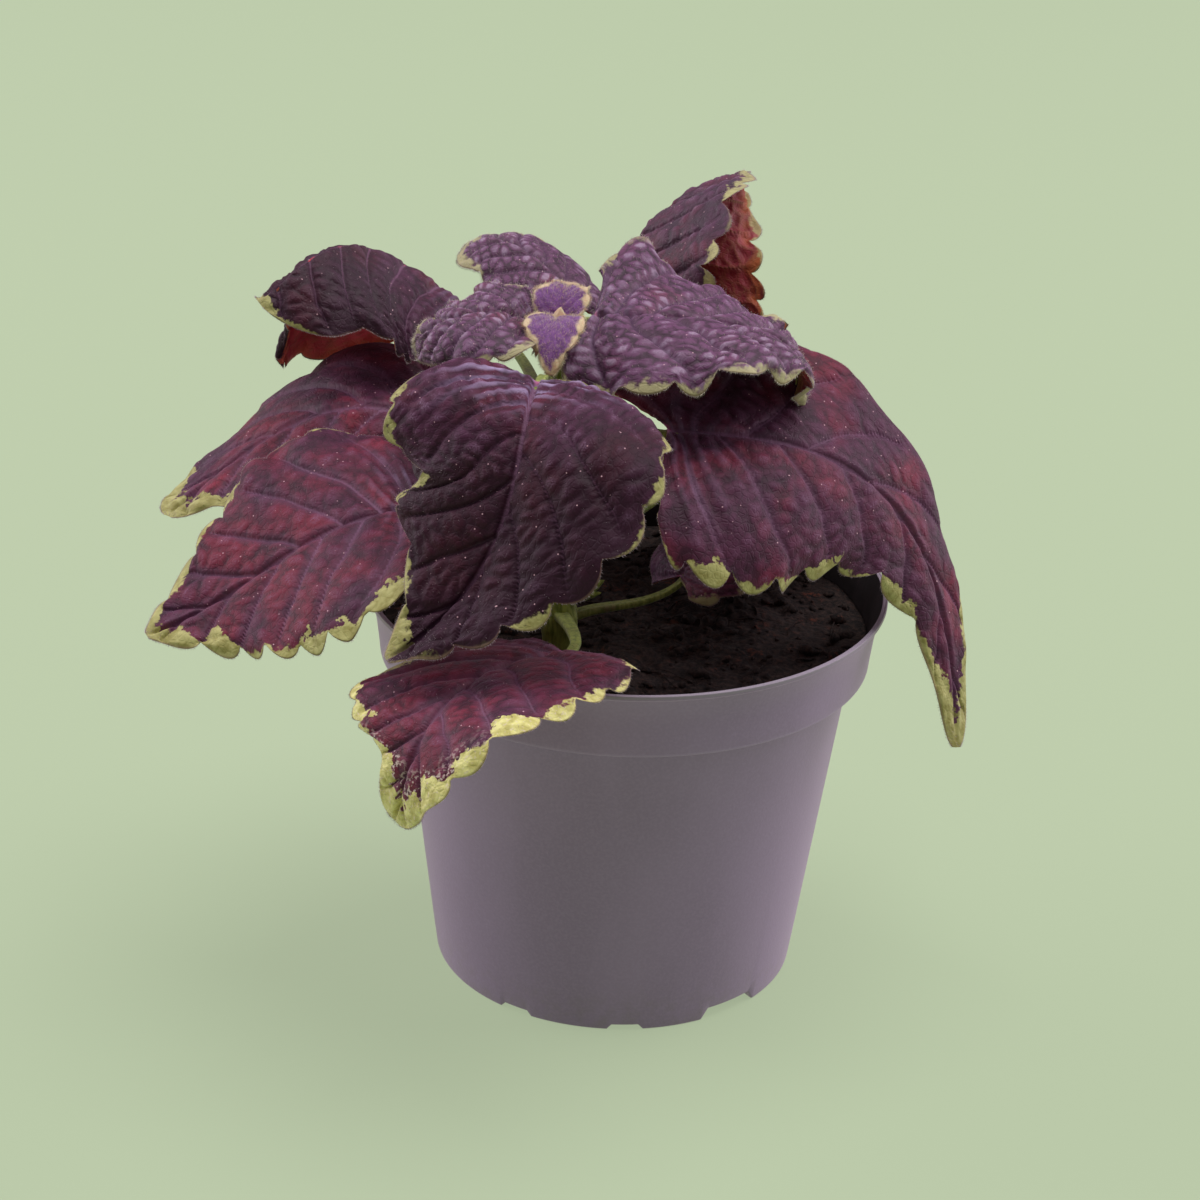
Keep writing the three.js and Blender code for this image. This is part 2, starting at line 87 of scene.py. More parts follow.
# The stem: the control points of its curve, and its radius at the base and at the top.
STEM = {
    "path": ((-15, -15, 78), (-15, -15, 107), (-17, -12, 135), (-17.5, -11, 157)),
    "base": 3.9, "top": 1.7,
}

# Each leaf: node is the height where its petiole leaves the stem, stalk the petiole's radius, and
# width the half width of the flat blade. belly, tip and lobe shape its outline, and crenations is
# the number of scallops along a margin. rib holds the four control points of the midrib. roll,
# keel and curl are angles at the base and at the tip, as in the frame, and each half of the blade
# has its own keel and curl. An entry that isn't there keeps its plain value.
# Form: handle is how far the petiole keeps its first direction, blunt the radius that rounds the
# tip, whole the share at the tip without scallops, and twist the tip's further roll. ruffle, quilt
# and folds raise the waves of the margin, the blisters between fine veins and the swells between
# side veins, and vigour all of them. cell is the size of the blisters, and plain how fine the mesh
# is where little is seen.
# Halves: wide is a half's share of the width, and waist the places where it is drawn in or let
# out. lobe and lobed are the depth and length of its basal lobe, cut the depth of its scallops and
# count their number. It may have its own edge and from.
# Looks: red is how burgundy it is, edge the width of the pale margin at the base and at the tip,
# from where it begins to change, and patchy how uneven it is. cream is how far that margin is cream
# rather than lime, bright how much painted light lightens it, and mottled gives it
# flecks. down is how hairy the leaf is. painted_tip_shade paints shade over its tip, base_highlight
# paints highlights on the pleats and crowns near its base, blush reddens its left shoulder, gloss is
# the strength of its sheen, lines that of its side veins, and lit how much painted light, as if shone
# through the blade, brightens its underside.


def alike(**half):
    """The same entries for both halves of a blade."""
    return {"left": half, "right": half}


# What the two leaves at the back have in common, and the two newest ones.
HIDDEN = {
    "stalk": 1.6, "width": 30, "belly": 0.75, "tip": 1.3, "lobe": 0.12, "crenations": 9, "roll": (0, 0),
    "down": 0.3, "plain": 0.7, **alike(keel=(5, 5), curl=(30, 40)),
}
NEWEST = {
    "lobe": 0.06, "crenations": 4, "roll": (0, 0), "edge": (1.2, 1.2), "ruffle": 4.2, "vigour": 0.2,
    "down": 1.2,
}

LEAVES = {
    "leaf_front": {
        "node": 143, "stalk": 1.5, "width": 33.5, "belly": 0.79, "tip": 1.21, "lobe": 0.14, "crenations": 10,
        "rib": ((-21, -35, 156), (-26, -66, 157), (-20, -61, 122), (-50, -75, 108)), "roll": (0, -7),
        "left": {"keel": (-11, -25), "curl": (73, 15), "wide": 0.98, "edge": (2.2, 0.4)},
        "right": {
            "keel": (-15, -21), "curl": (35, 66), "wide": 1.03, "edge": (2.4, 5.2),
            "waist": ((0.51, 0.1, 0.33), (0.74, 0.09, -0.16)),
        },
        "red": 0.2, "cream": 0.12, "down": 0.5, "painted_tip_shade": 0.85, "base_highlight": 1.4, "gloss": 0.5, "patchy": 0.55,
        "lines": 0.3, "cell": 1.15,
    },
    "leaf_left_front": {
        "node": 116, "stalk": 1.6, "width": 34, "belly": 0.76, "tip": 1.26, "lobe": 0.13, "crenations": 10,
        "rib": ((-45, -24, 121), (-71, -35, 124), (-83, -28, 99), (-105, -40, 95)), "roll": (-2, -20),
        "left": {"keel": (-7, 6), "curl": (12, 6), "edge": (3.3, 5.4)},
        "right": {"keel": (-11, -10), "curl": (1, 13), "wide": 1.02, "edge": (0.7, 2.8)},
        "red": 0.55, "cream": 0.0, "down": 0.3, "base_highlight": 0.5, "gloss": 0.65, "bright": 1.1,
        "quilt": 0.5, "cell": 1.3,
    },
    "leaf_low_front": {
        "node": 92, "stalk": 1.6, "width": 27.4, "belly": 0.73, "tip": 1.3, "lobe": 0.13, "crenations": 9,
        "rib": ((-13, -49, 99), (-41, -72, 105), (-42, -104, 104), (-47, -87, 77)), "roll": (12, 3),
        "left": {"keel": (-11, -6), "curl": (26, 6), "wide": 1.05, "edge": (3.2, 6.5)},
        "right": {"keel": (-6, -4), "curl": (14, 9), "wide": 0.94, "edge": (3.4, 6.5)},
        "red": 0.7, "cream": 0.0, "down": 0.3, "gloss": 0.7, "bright": 1.8, "mottled": True,
        "handle": 0.2, "blunt": 6.0, "whole": 0.12, "quilt": 0.45, "cell": 1.3,
    },
    "leaf_right": {
        "node": 129, "stalk": 1.6, "width": 38, "belly": 0.6, "tip": 1.61, "lobe": 0.05, "crenations": 12,
        "rib": ((7, -17, 139), (42, -18, 139), (72.5, 2, 127), (75.5, -28, 68.5)), "roll": (10, 28),
        "left": {
            "keel": (-13, 13), "curl": (-11, 8), "wide": 0.93, "edge": (0.0, 3.4), "from": 0.8,
            "lobe": 0.3, "lobed": 0.2, "cut": 0.35,
        },
        "right": {"keel": (4, 0), "curl": (39, 49), "edge": (3.0, 4.6), "cut": 1.1, "count": 9},
        "red": 0.22, "cream": 0.0, "down": 0.3, "gloss": 0.65, "lines": 0.7, "blush": 0.9,
        "twist": 26, "blunt": 3.2, "quilt": 0.6, "cell": 1.3,
    },
    "leaf_upper_right": {
        "node": 110, "stalk": 1.6, "width": 36, "belly": 0.79, "tip": 1.17, "lobe": 0.12, "crenations": 9,
        "rib": ((-5, 43, 135), (-11, 50, 161), (11, 54, 174), (23, 77, 168)), "roll": (-67, -71),
        "left": {"keel": (72, 79), "curl": (17, 45), "wide": 1.1},
        "right": {"keel": (48, 49), "curl": (20, -19), "wide": 0.92},
        "red": 0.15, "edge": (1.3, 2.4), "cream": 0.3, "down": 0.4, "painted_tip_shade": 0.3, "lit": 0.85,
        "blunt": 7.0, "whole": 0.06, "cell": 1.2,
    },
    "leaf_upper_left": {
        "node": 129, "stalk": 1.5, "width": 36.5, "belly": 0.9, "tip": 1.05, "lobe": 0.08, "crenations": 9,
        "rib": ((-41, 52, 142), (-70, 48, 167), (-72, 22, 165), (-86.5, 17, 153)), "roll": (5, -11),
        "left": {
            "keel": (32, 20), "curl": (0, 50), "wide": 0.9, "edge": (0.0, 3.8), "cut": 0.35,
            "waist": ((0.12, 0.12, -0.2), (0.93, 0.1, -0.6)),
        },
        "right": {"keel": (59, 50), "curl": (16, 35), "wide": 1.02, "cut": 0.5},
        "red": 0.12, "edge": (0.3, 3.0), "from": 0.9, "cream": 0.1, "down": 0.4, "painted_tip_shade": 0.75,
        "gloss": 0.7, "lit": 2.0, "blunt": 14.0, "whole": 0.16, "quilt": 0.7, "cell": 1.2,
    },
    "leaf_left_middle": {
        "node": 104, "stalk": 1.5, "width": 30, "belly": 0.84, "tip": 0.96, "lobe": 0.11, "crenations": 10,
        "rib": ((-45, 10, 126), (-67, 12, 140), (-88, 18, 118), (-105, -4, 108)), "roll": (-22, 0),
        "left": {"keel": (19, -8), "curl": (42, 41), "wide": 1.01},
        "right": {"keel": (6, 7), "curl": (-8, 45), "wide": 1.14, "lobe": 0.2},
        "red": 0.55, "edge": (0.4, 5.0), "cream": 0.0, "down": 0.3, "gloss": 0.65,
        "blunt": 5.0, "twist": -20, "whole": 0.08, "quilt": 0.5, "cell": 1.3, "plain": 0.75,
    },
    "leaf_young_left": {
        "node": 148, "stalk": 1.0, "width": 18, "belly": 0.78, "tip": 1.19, "lobe": 0.03, "crenations": 7,
        "rib": ((-23.5, -6, 157), (-28, -12, 168), (-50, -15, 161), (-49, -6, 151)), "roll": (7, -13),
        "left": {"keel": (-8, 21), "curl": (15, 43), "wide": 0.95},
        "right": {"keel": (-23, 12), "curl": (22, 52)},
        "red": 0.0, "edge": (1.6, 2.0), "cream": 0.9, "down": 1.0,
        "ruffle": 2.0, "quilt": 0.55, "cell": 1.35,
    },
    "leaf_young_right": {
        "node": 152, "stalk": 1.1, "width": 25, "belly": 0.66, "tip": 1.49, "lobe": 0.1, "crenations": 9,
        "rib": ((-10, -1, 159), (11, -7, 162), (46, -7, 162), (36, 1, 138)), "roll": (-2, -2),
        "left": {"keel": (-9, 1), "curl": (-25, 60), "wide": 1.1, "cut": 1.9},
        "right": {"keel": (2, -8), "curl": (45, 33), "wide": 1.04, "cut": 1.2},
        "red": 0.0, "edge": (1.8, 2.1), "cream": 0.8, "down": 1.0,
        "ruffle": 2.6, "quilt": 0.65, "cell": 1.1, "folds": 1.6,
    },
    "leaf_back": {
        "node": 143, "stalk": 1.2, "width": 17, "belly": 0.76, "tip": 1.33, "lobe": 0.12, "crenations": 8,
        "rib": ((-13, 13, 156), (-15, 27, 157), (-31, 34, 170), (-40, 46, 159)), "roll": (11, -10),
        "left": {"keel": (10, 13), "curl": (31, 32), "cut": 0.5, "waist": ((0.92, 0.12, -0.6),)},
        "right": {"keel": (18, 6), "curl": (17, 17), "cut": 0.5, "waist": ((0.92, 0.12, -0.6),)},
        "red": 0.0, "edge": (0.4, 3.6), "from": 0.6, "cream": 0.8, "down": 0.8,
        "ruffle": 0.25, "blunt": 7.0, "whole": 0.2, "quilt": 0.35, "cell": 1.5,
    },
    "leaf_low_right": {
        "node": 90, "stalk": 1.4, "width": 17, "belly": 0.78, "tip": 1.4, "lobe": 0.19, "crenations": 7,
        "rib": ((12, -2, 97), (18, 3, 106), (32, 10, 104), (44, 20, 95)), "roll": (-18, 9),
        "left": {"keel": (-5, -2), "curl": (4, 18)}, "right": {"keel": (2, 12), "curl": (31, 33)},
        "red": 0.1, "edge": (1.2, 1.8), "cream": 0.5, "down": 0.4, "plain": 0.8,
    },
    "leaf_back_right": {
        **HIDDEN, "node": 104, "rib": ((8, 12, 113), (26, 32, 128), (46, 54, 120), (54, 76, 92)),
        "red": 0.5, "edge": (1.2, 4.0), "cream": 0.05,
    },
    "leaf_back_left": {
        **HIDDEN, "node": 92, "rib": ((-24, 26, 110), (-30, 48, 125), (-36, 70, 118), (-44, 86, 92)),
        "red": 0.6, "edge": (1.5, 5.0), "cream": 0.0,
    },
}

TIP_LEAVES = (
    {
        **NEWEST, "width": 6.2, "belly": 0.7, "tip": 1.2, **alike(keel=(-20, -10), curl=(-10, 10)),
        "rib": ((-17, -9.5, 160), (-17, -7, 165), (-16.5, -2, 167), (-15, 3, 164)),
    },
    {
        **NEWEST, "width": 6.4, "belly": 0.62, "tip": 1.3, **alike(keel=(-15, 10), curl=(15, 30)),
        "rib": ((-18, -12, 162), (-18.5, -19, 164), (-18.5, -25, 160.5), (-18.5, -28, 154.5)),
    },
)
# The bud of the shoot tip, and the side buds just above the peat with the angle that they face.
BUD = {"foot": (-17.5, -11, 157.4), "radius": 2.5, "height": 7.0, "root": 1.3}
SIDE_BUDS = (
    {"angle": -70, "height": 92, "radius": 1.9, "length": 4.6},
    {"angle": 95, "height": 96, "radius": 1.6, "length": 5.4},
)

# The studio, in metres: the camera, the sky's strength as light and as it is seen, the sun's strength
# and spread, and the two side panels.
VIEW = {"eye": (-0.00607, -0.67157, 0.39684), "ahead": (0.0, 0.9092, -0.4163)}
LIGHT = {
    "sky": 0.22, "seen_sky": 0.95, "sun": 2.3, "spread": 46, "from": (0.12, 0.08, 1.0), "panel": 15.0,
    "panel_size": (1.2, 1.6), "panel_place": (1.25, 0.45, 0.62), "panel_aim": (0.0, 0.0, 0.1),
}

# The blade's outline: its first and last shares, the spread of its rows, how soon a row bends, how
# soon it unfolds, the length of the basal lobe and the rounding of the tip.
OUTLINE = {
    "start": 0.012, "end": 0.9985, "rows": 1.3, "bow": 1.15, "open": 0.15, "lobed": 0.42, "blunt": 2.6,
    "blunt_reach": 5.0,
}
# Scallops: their depth, the power that rounds them, their middle line, where they fade out, how far
# they reach inwards, how they slim with the blade, lean forwards, vary, and notch the pale margin.
SCALLOP = {
    "depth": 0.125, "round": 0.55, "middle": 0.66, "base": 0.06, "tip": 0.11, "inwards": 7, "slim": 0.45,
    "lean": 0.012, "vary": 0.12, "notch": 0.14,
}
# The pale margin: its reach in the plainest scallop, what chance adds, where it begins to change,
# and from where it is whole.
PALE = {"least": 0.2, "chance": 1.3, "from": 0.35, "whole": (0.88, 0.97)}
# Veins: how many leave each side of the rib, how far they sweep forwards and wander, and their half
# width at the rib and at the margin, then the midrib's at the base and at the tip. The net's slant,
# cells and line widths, those in shares of a cell, and the pleats between two veins near the base.
VEINS = {
    "each_side": 6.5, "forward": 0.34, "wander": 0.16, "side": (0.62, 0.3), "midrib": (0.85, 0.4),
    "slant": 0.9, "long_cell": 4.4, "short_cell": 2.9, "fine_cell": 1.5, "line": 0.13, "fine_line": 0.14,
    "pleats": 3,
}
BLISTER = 0.62  # rise of the blade between its finest veins
SWELL = 0.75  # rise of the blade between two side veins
TROUGH = 0.7  # depth of a side vein in the upper face
GUTTER = 0.9  # depth of the midrib in the upper face
SETTLE = 0.45  # how far the whole relief lies below the bent surface
PLEAT = 0.22  # height of the fine pleats near the base
RUFFLE = 0.9  # rise and fall of the margin
DROOP = 1.3  # how far the scallops curl down
# The petiole: its upward lift, how straight it runs, its radius where it leaves the stem, under the
# base of the blade and at its end, in shares of stalk, the level at which its top is flattened, and
# its rows of points.
PETIOLE = {"lift": 0.6, "handle": 0.35, "thick": 1.15, "thin": 0.62, "end": 0.12, "flat": 0.55, "rows": 34}
# Hairs: their thickness on blades and on stalks, how far they sway, the shortest and the spread of
# their lengths, and how deep they stand in the skin.
HAIR = {"blade": 0.07, "stalk": 0.06, "sway": 0.9, "short": 0.45, "spread": 0.75, "sunk": 0.1}
# Down: hairs to each row of the margin, on the whole face, and their length. Two numbers are for a
# nearly bald leaf and for a woolly one.
DOWN = {"margin": (2, 7), "face": 1500, "length": (0.45, 0.8)}

# ---- Curves, grids and repeatable noise ------------------------------------------------------


def unit(vectors):
    """Each vector divided by its length."""
    return vectors / np.maximum(np.linalg.norm(vectors, axis=-1, keepdims=True), 1e-12)


def blend(low, high, share):
    """The value that lies a share of the way from low to high."""
    return low + (high - low) * share


def smooth(low, high, values):
    """0 below low, 1 above high, and an S-shaped rise between them."""
    share = np.clip((values - low) / (high - low), 0, 1)
    return share * share * (3 - 2 * share)


def bezier(points, at):
    """The cubic Bezier curve: each control point weighted by its Bernstein polynomial."""
    p0, p1, p2, p3 = np.array(points, float)
    at = np.asarray(at, float)[..., None]
    rest = 1 - at
    return rest**3 * p0 + 3 * rest**2 * at * p1 + 3 * rest * at**2 * p2 + at**3 * p3


def heading(points, at):
    """The unit direction of a cubic Bezier curve, from the derivative of its polynomials."""
    p0, p1, p2, p3 = np.array(points, float)
    at = np.asarray(at, float)[..., None]
    rest = 1 - at
    return unit(rest**2 * (p1 - p0) + 2 * rest * at * (p2 - p1) + at**2 * (p3 - p2))


def curve_length(points):
    """The length of a cubic Bezier curve, as a sum of short chords."""
    steps = bezier(points, np.linspace(0, 1, 65))
    return float(np.linalg.norm(np.diff(steps, axis=0), axis=1).sum())


def scatter(x, y, seed):
    """Repeatable values from 0 to 1 for whole-number places: the fraction of a large sine."""
    value = np.sin(x * 127.1 + y * 311.7 + seed * 74.7) * 43758.5453
    return value - np.floor(value)


def cloud(x, y, seed):
    """Value noise from 0 to 1: lattice values blended smoothly across each square."""
    left, low = np.floor(x), np.floor(y)
    across, along = smooth(0, 1, x - left), smooth(0, 1, y - low)
    bottom = blend(scatter(left, low, seed), scatter(left + 1, low, seed), across)
    top = blend(scatter(left, low + 1, seed), scatter(left + 1, low + 1, seed), across)
    return blend(bottom, top, along)


def cells(x, y, seed, loose=0.75):
    """Distance from the border of a scattered cell: second nearest centre less the nearest."""
    left, low = np.floor(x), np.floor(y)
    nearest = np.full(x.shape, 9.0)
    second = np.full(x.shape, 9.0)
    for column in (-1, 0, 1):
        for row in (-1, 0, 1):
            at_x = left + column + 0.5 + loose * (scatter(left + column, low + row, seed) - 0.5)
            at_y = low + row + 0.5 + loose * (scatter(left + column, low + row, seed + 9) - 0.5)
            distance = np.hypot(at_x - x, at_y - y)
            second = np.minimum(second, np.maximum(nearest, distance))
            nearest = np.minimum(nearest, distance)
    return second - nearest


def grid_faces(rows, columns, start=0, wrap=False):
    """Four-sided faces of a grid of points numbered row by row, closed round its rows if wrapped."""
    numbers = np.arange(rows * columns).reshape(rows, columns) + start
    if wrap:
        numbers = np.concatenate([numbers, numbers[:, :1]], axis=1)
    corners = [numbers[:-1, :-1], numbers[:-1, 1:], numbers[1:, 1:], numbers[1:, :-1]]
    return np.stack([corner.ravel() for corner in corners], axis=1)


def fan_faces(ring, centre):
    """Triangles from each side of a ring of point numbers to one centre."""
    return np.stack([ring, np.roll(ring, -1), np.full(ring.shape, centre)], axis=1)


def capped_faces(rows, around, flipped=False):
    """Faces of a grid closed round its rows, then a fan from its first row and one from its last to
    the two points that follow the grid. The faces are turned over if asked."""
    first = np.arange(around)
    last = first + (rows - 1) * around
    sides = grid_faces(rows, around, wrap=True)
    if flipped:
        sides, first, last = sides[:, ::-1], first[::-1], last[::-1]
    return [sides, fan_faces(first[::-1], rows * around), fan_faces(last, rows * around + 1)]


# ---- Parts of a mesh -------------------------------------------------------------------------

# What a leaf's mesh keeps at its points, three numbers each: veins, the strength of the main veins,
# of the net and of the domes; margin, the distance to the edge, the reach of the pale margin and
# the share of the way to the tip; lanes, the side vein's number and the place in the flat blade;
# face, 1 on the upper face and 0 on the lower, the share of the way out, and the half width.
SKIN_VALUES = ("veins", "margin", "lanes", "face")


class Shell:
    """One closed surface: its points, groups of faces, finish numbers (one for each group, or one
    for all) and the values kept for its finish."""

    def __init__(self, points, faces, finish=0, **values):
        self.points = points
        self.faces = faces
        self.finish = finish
        self.values = values


def placed(name, data, place=None):
    """A new object in the scene, at the place that a matrix gives."""
    thing = bpy.data.objects.new(name, data)
    if place is not None:
        thing.matrix_world = place
    bpy.context.scene.collection.objects.link(thing)
    return thing


def joined(name, shells, materials, kept=()):
    """One mesh object from several closed shells, scaled to metres, with its values as attributes."""
    mesh = bpy.data.meshes.new(name)
    points = np.concatenate([shell.points for shell in shells]) * MM
    loops, sizes, finishes, start = [], [], [], 0
    for shell in shells:
        for group, finish in zip(shell.faces, np.broadcast_to(shell.finish, len(shell.faces))):
            loops.append((group + start).ravel())
            sizes.append(np.full(len(group), group.shape[1]))
            finishes.append(np.full(len(group), finish))
        start += len(shell.points)
    loops, sizes = np.concatenate(loops), np.concatenate(sizes)
    mesh.vertices.add(len(points))
    mesh.vertices.foreach_set("co", points.astype(np.float32).ravel())
    mesh.loops.add(len(loops))
    mesh.loops.foreach_set("vertex_index", loops.astype(np.int32))
    mesh.polygons.add(len(sizes))
    starts = np.concatenate([[0], np.cumsum(sizes)[:-1]])
    mesh.polygons.foreach_set("loop_start", starts.astype(np.int32))
    mesh.polygons.foreach_set("material_index", np.concatenate(finishes).astype(np.int32))
    mesh.polygons.foreach_set("use_smooth", np.ones(len(sizes), bool))
    for key in kept:
        values = [shell.values.get(key, np.zeros((len(shell.points), 3))) for shell in shells]
        layer = mesh.attributes.new(key, "FLOAT_VECTOR", "POINT")
        layer.data.foreach_set("vector", np.concatenate(values).astype(np.float32).ravel())
    mesh.update(calc_edges=True)
    mesh.validate()
    for material in materials:
        mesh.materials.append(material)
    piece = placed(name, mesh)
    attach(piece, "root")
    return piece


def tube(path, radii, section, reference, finish=0):
    """A closed section carried along a path, its size at each station given by radii.

    A point is path + radius * (section x * side + section y * rise), where side is slope x
    reference and rise is side x slope. Each end closes on a point in its middle."""
    slope = unit(np.gradient(path, axis=0))
    side = unit(np.cross(slope, reference))
    rise = np.cross(side, slope)
    frames = section[None, :, :1] * side[:, None] + section[None, :, 1:] * rise[:, None]
    rings = path[:, None] + np.reshape(radii, (-1, 1, 1)) * frames
    points = np.concatenate([rings.reshape(-1, 3), path[:1], path[-1:]])
    return Shell(points, capped_faces(*rings.shape[:2]), finish)


def circle(around):
    """A round section of radius 1."""
    angle = np.linspace(0, 2 * np.pi, around, endpoint=False)
    return np.stack([np.cos(angle), np.sin(angle)], axis=1)


def hairs(roots, directions, length, thickness, seed, finish):
    """Fine pointed hairs: three-sided spikes from their roots, turned and shortened by chance."""
    numbers = np.arange(len(roots))
    sway = np.stack([scatter(numbers, k, seed) - 0.5 for k in range(3)], axis=1)
    along = unit(directions + HAIR["sway"] * sway)
    side = unit(np.cross(along, UP + 0.3 * sway))
    other = np.cross(along, side)
    reach = length * (HAIR["short"] + HAIR["spread"] * scatter(numbers, 5, seed))[:, None]
    angle = 2 * np.pi * np.arange(3) / 3
    foot = np.cos(angle)[None, :, None] * side[:, None] + np.sin(angle)[None, :, None] * other[:, None]
    feet = roots[:, None] + foot * thickness / 2 - HAIR["sunk"] * length * along[:, None]
    tips = (roots + along * reach)[:, None]
    points = np.concatenate([feet, tips], axis=1).reshape(-1, 3)
    base = (4 * numbers)[:, None, None]
    faces = base + np.array([[0, 1, 3], [1, 2, 3], [2, 0, 3], [0, 2, 1]])[None]
    return Shell(points, [faces.reshape(-1, 3)], finish)


# ---- Leaves ----------------------------------------------------------------------------------


def sided(leaf, v, key, plain):
    """A value of the leaf's right side where v is positive, and of its left side elsewhere."""
    return np.where(v > 0, leaf["right"].get(key, plain), leaf["left"].get(key, plain))


def pale_reach(leaf, t, v, phase, seed):
    """How far the pale margin runs into the blade, in millimetres: most in the middle of a scallop,
    by chance more in one scallop than in the next, and alike all round the tip."""
    patchy, bare = leaf.get("patchy", 0.0), leaf.get("whole", 0.0)
    luck = smooth(0.1 + 0.3 * patchy, 0.85, scatter(np.floor(phase), np.sign(v), seed))
    chance = PALE["least"] * (1 - patchy) + PALE["chance"] * luck
    lobe = SCALLOP["notch"] + np.abs(np.sin(np.pi * phase))
    begins = sided(leaf, v, "from", leaf.get("from", PALE["from"]))
    share = smooth(0.0, 1.0, (t - begins) / (1 - begins))
    whole = smooth(PALE["whole"][0] - bare, PALE["whole"][1] - bare, t)
    right, left = (leaf[side].get("edge", leaf.get("edge")) for side in ("right", "left"))
    base, tip = (np.where(v > 0, right[k], left[k]) for k in range(2))
    return blend(base, tip, share) * blend(lobe * chance, 1.0, whole)


def waist(half, t):
    """The share of the width that one half of the blade keeps where it is drawn in or let out: 1
    less a bell curve about each of its places."""
    places = half.get("waist", ())
    return 1 - sum((depth * np.exp(-(((t - place) / reach) ** 2)) for place, reach, depth in places), 0 * t)


def rolled(leaf, share):
    """The roll of the blade about its rib, in radians: even from base to tip, with a twist that
    grows as the sixth power towards the tip."""
    return np.radians(blend(*leaf["roll"], share) + leaf.get("twist", 0.0) * share**6)


def flat_place(leaf, t, v):
    """The place in the flat blade of an outline share t and a share v of the way to the margin.

    The half width is width * sin(pi * t^belly), rounded at the tip by the root of the distance to
    the end. The margin lies t^tip along the rib, drawn back by the basal lobe. Scallops are a power
    of |sin| that fades towards the base, the tip and the rib, and lean towards the tip."""
    a = np.abs(v)
    wide = sided(leaf, v, "wide", 1.0) * np.where(v > 0, waist(leaf["right"], t), waist(leaf["left"], t))
    half = leaf["width"] * np.sin(np.pi * t ** leaf["belly"])
    to_end = (1 - t) * curve_length(leaf["rib"])
    blunt = leaf.get("blunt", OUTLINE["blunt"] * min(1.0, leaf["width"] / 25))
    half = np.sqrt(half**2 + 2 * blunt * to_end * np.exp(-to_end / OUTLINE["blunt_reach"]))
    ear = np.sin(np.pi * np.clip(t / sided(leaf, v, "lobed", OUTLINE["lobed"]), 0, 1))
    margin = t ** leaf["tip"] - sided(leaf, v, "lobe", leaf["lobe"]) * ear
    phase = t * sided(leaf, v, "count", leaf["crenations"])
    phase = phase + SCALLOP["vary"] * np.sin(2 * np.pi * t * 2.3 + leaf["width"] + np.sign(v))
    wave = np.abs(np.sin(np.pi * phase))
    to_whole = 1 - t - leaf.get("whole", 0.0)
    fade = np.clip(t / SCALLOP["base"], 0, 1) * np.clip(to_whole / SCALLOP["tip"], 0, 1)
    slim = leaf["width"] / np.maximum(half, leaf["width"] * SCALLOP["slim"])
    depth = SCALLOP["depth"] * sided(leaf, v, "cut", 1.0)
    cut = depth * fade * (wave ** SCALLOP["round"] - SCALLOP["middle"]) * slim
    lean = SCALLOP["lean"] * fade * wave * a ** SCALLOP["inwards"]
    return {
        "across": np.sign(v) * half * wide * (a + cut * a ** SCALLOP["inwards"]),
        "along": blend(t ** OUTLINE["rows"], margin + lean, a ** OUTLINE["bow"]),
        "fold": np.clip(half / (OUTLINE["open"] * leaf["width"]), 0, 1),
        "half": half * wide,
        "wave": wave * fade,
        "phase": phase,
    }


def rib_frame(leaf, share):
    """The rib's direction, the way outwards and the way up at a share of its length: the level
    direction across the leaf, made square to the rib and rolled about it, and the one square to
    both."""
    slope = heading(leaf["rib"], share)
    level = unit(np.cross(np.subtract(leaf["rib"][3], leaf["rib"][0]), UP))
    side = unit(level - slope * (slope @ level)[..., None])
    rise = np.cross(side, slope)
    roll = rolled(leaf, share)[..., None]
    return slope, side * np.cos(roll) - rise * np.sin(roll), rise * np.cos(roll) + side * np.sin(roll)


def bent(leaf, across, along, fold):
    """The flat blade bent into place. A row leaves the rib at its keel angle and bends evenly
    outwards, as an arc whose angle is keel + curl * across / width, in the frame of the rib."""
    rib = leaf["rib"]
    y = np.clip(along, 0, 1)
    slope, outward, upward = rib_frame(leaf, y)
    centre = bezier(rib, y) + slope * ((along - y) * curve_length(rib))[..., None]

    def half(key):
        right = np.radians(blend(*leaf["right"][key], y))
        return np.where(across > 0, right, np.radians(blend(*leaf["left"][key], y)))

    keel = fold * half("keel")
    bend = half("curl") / leaf["width"]
    bend = np.where(np.abs(bend) < 1e-5, 1e-5, bend)
    away = np.abs(across)
    out = (np.sin(keel + bend * away) - np.sin(keel)) / bend
    down = (np.cos(keel) - np.cos(keel + bend * away)) / bend
    return centre + outward * (np.sign(across) * out)[..., None] - upward * down[..., None]


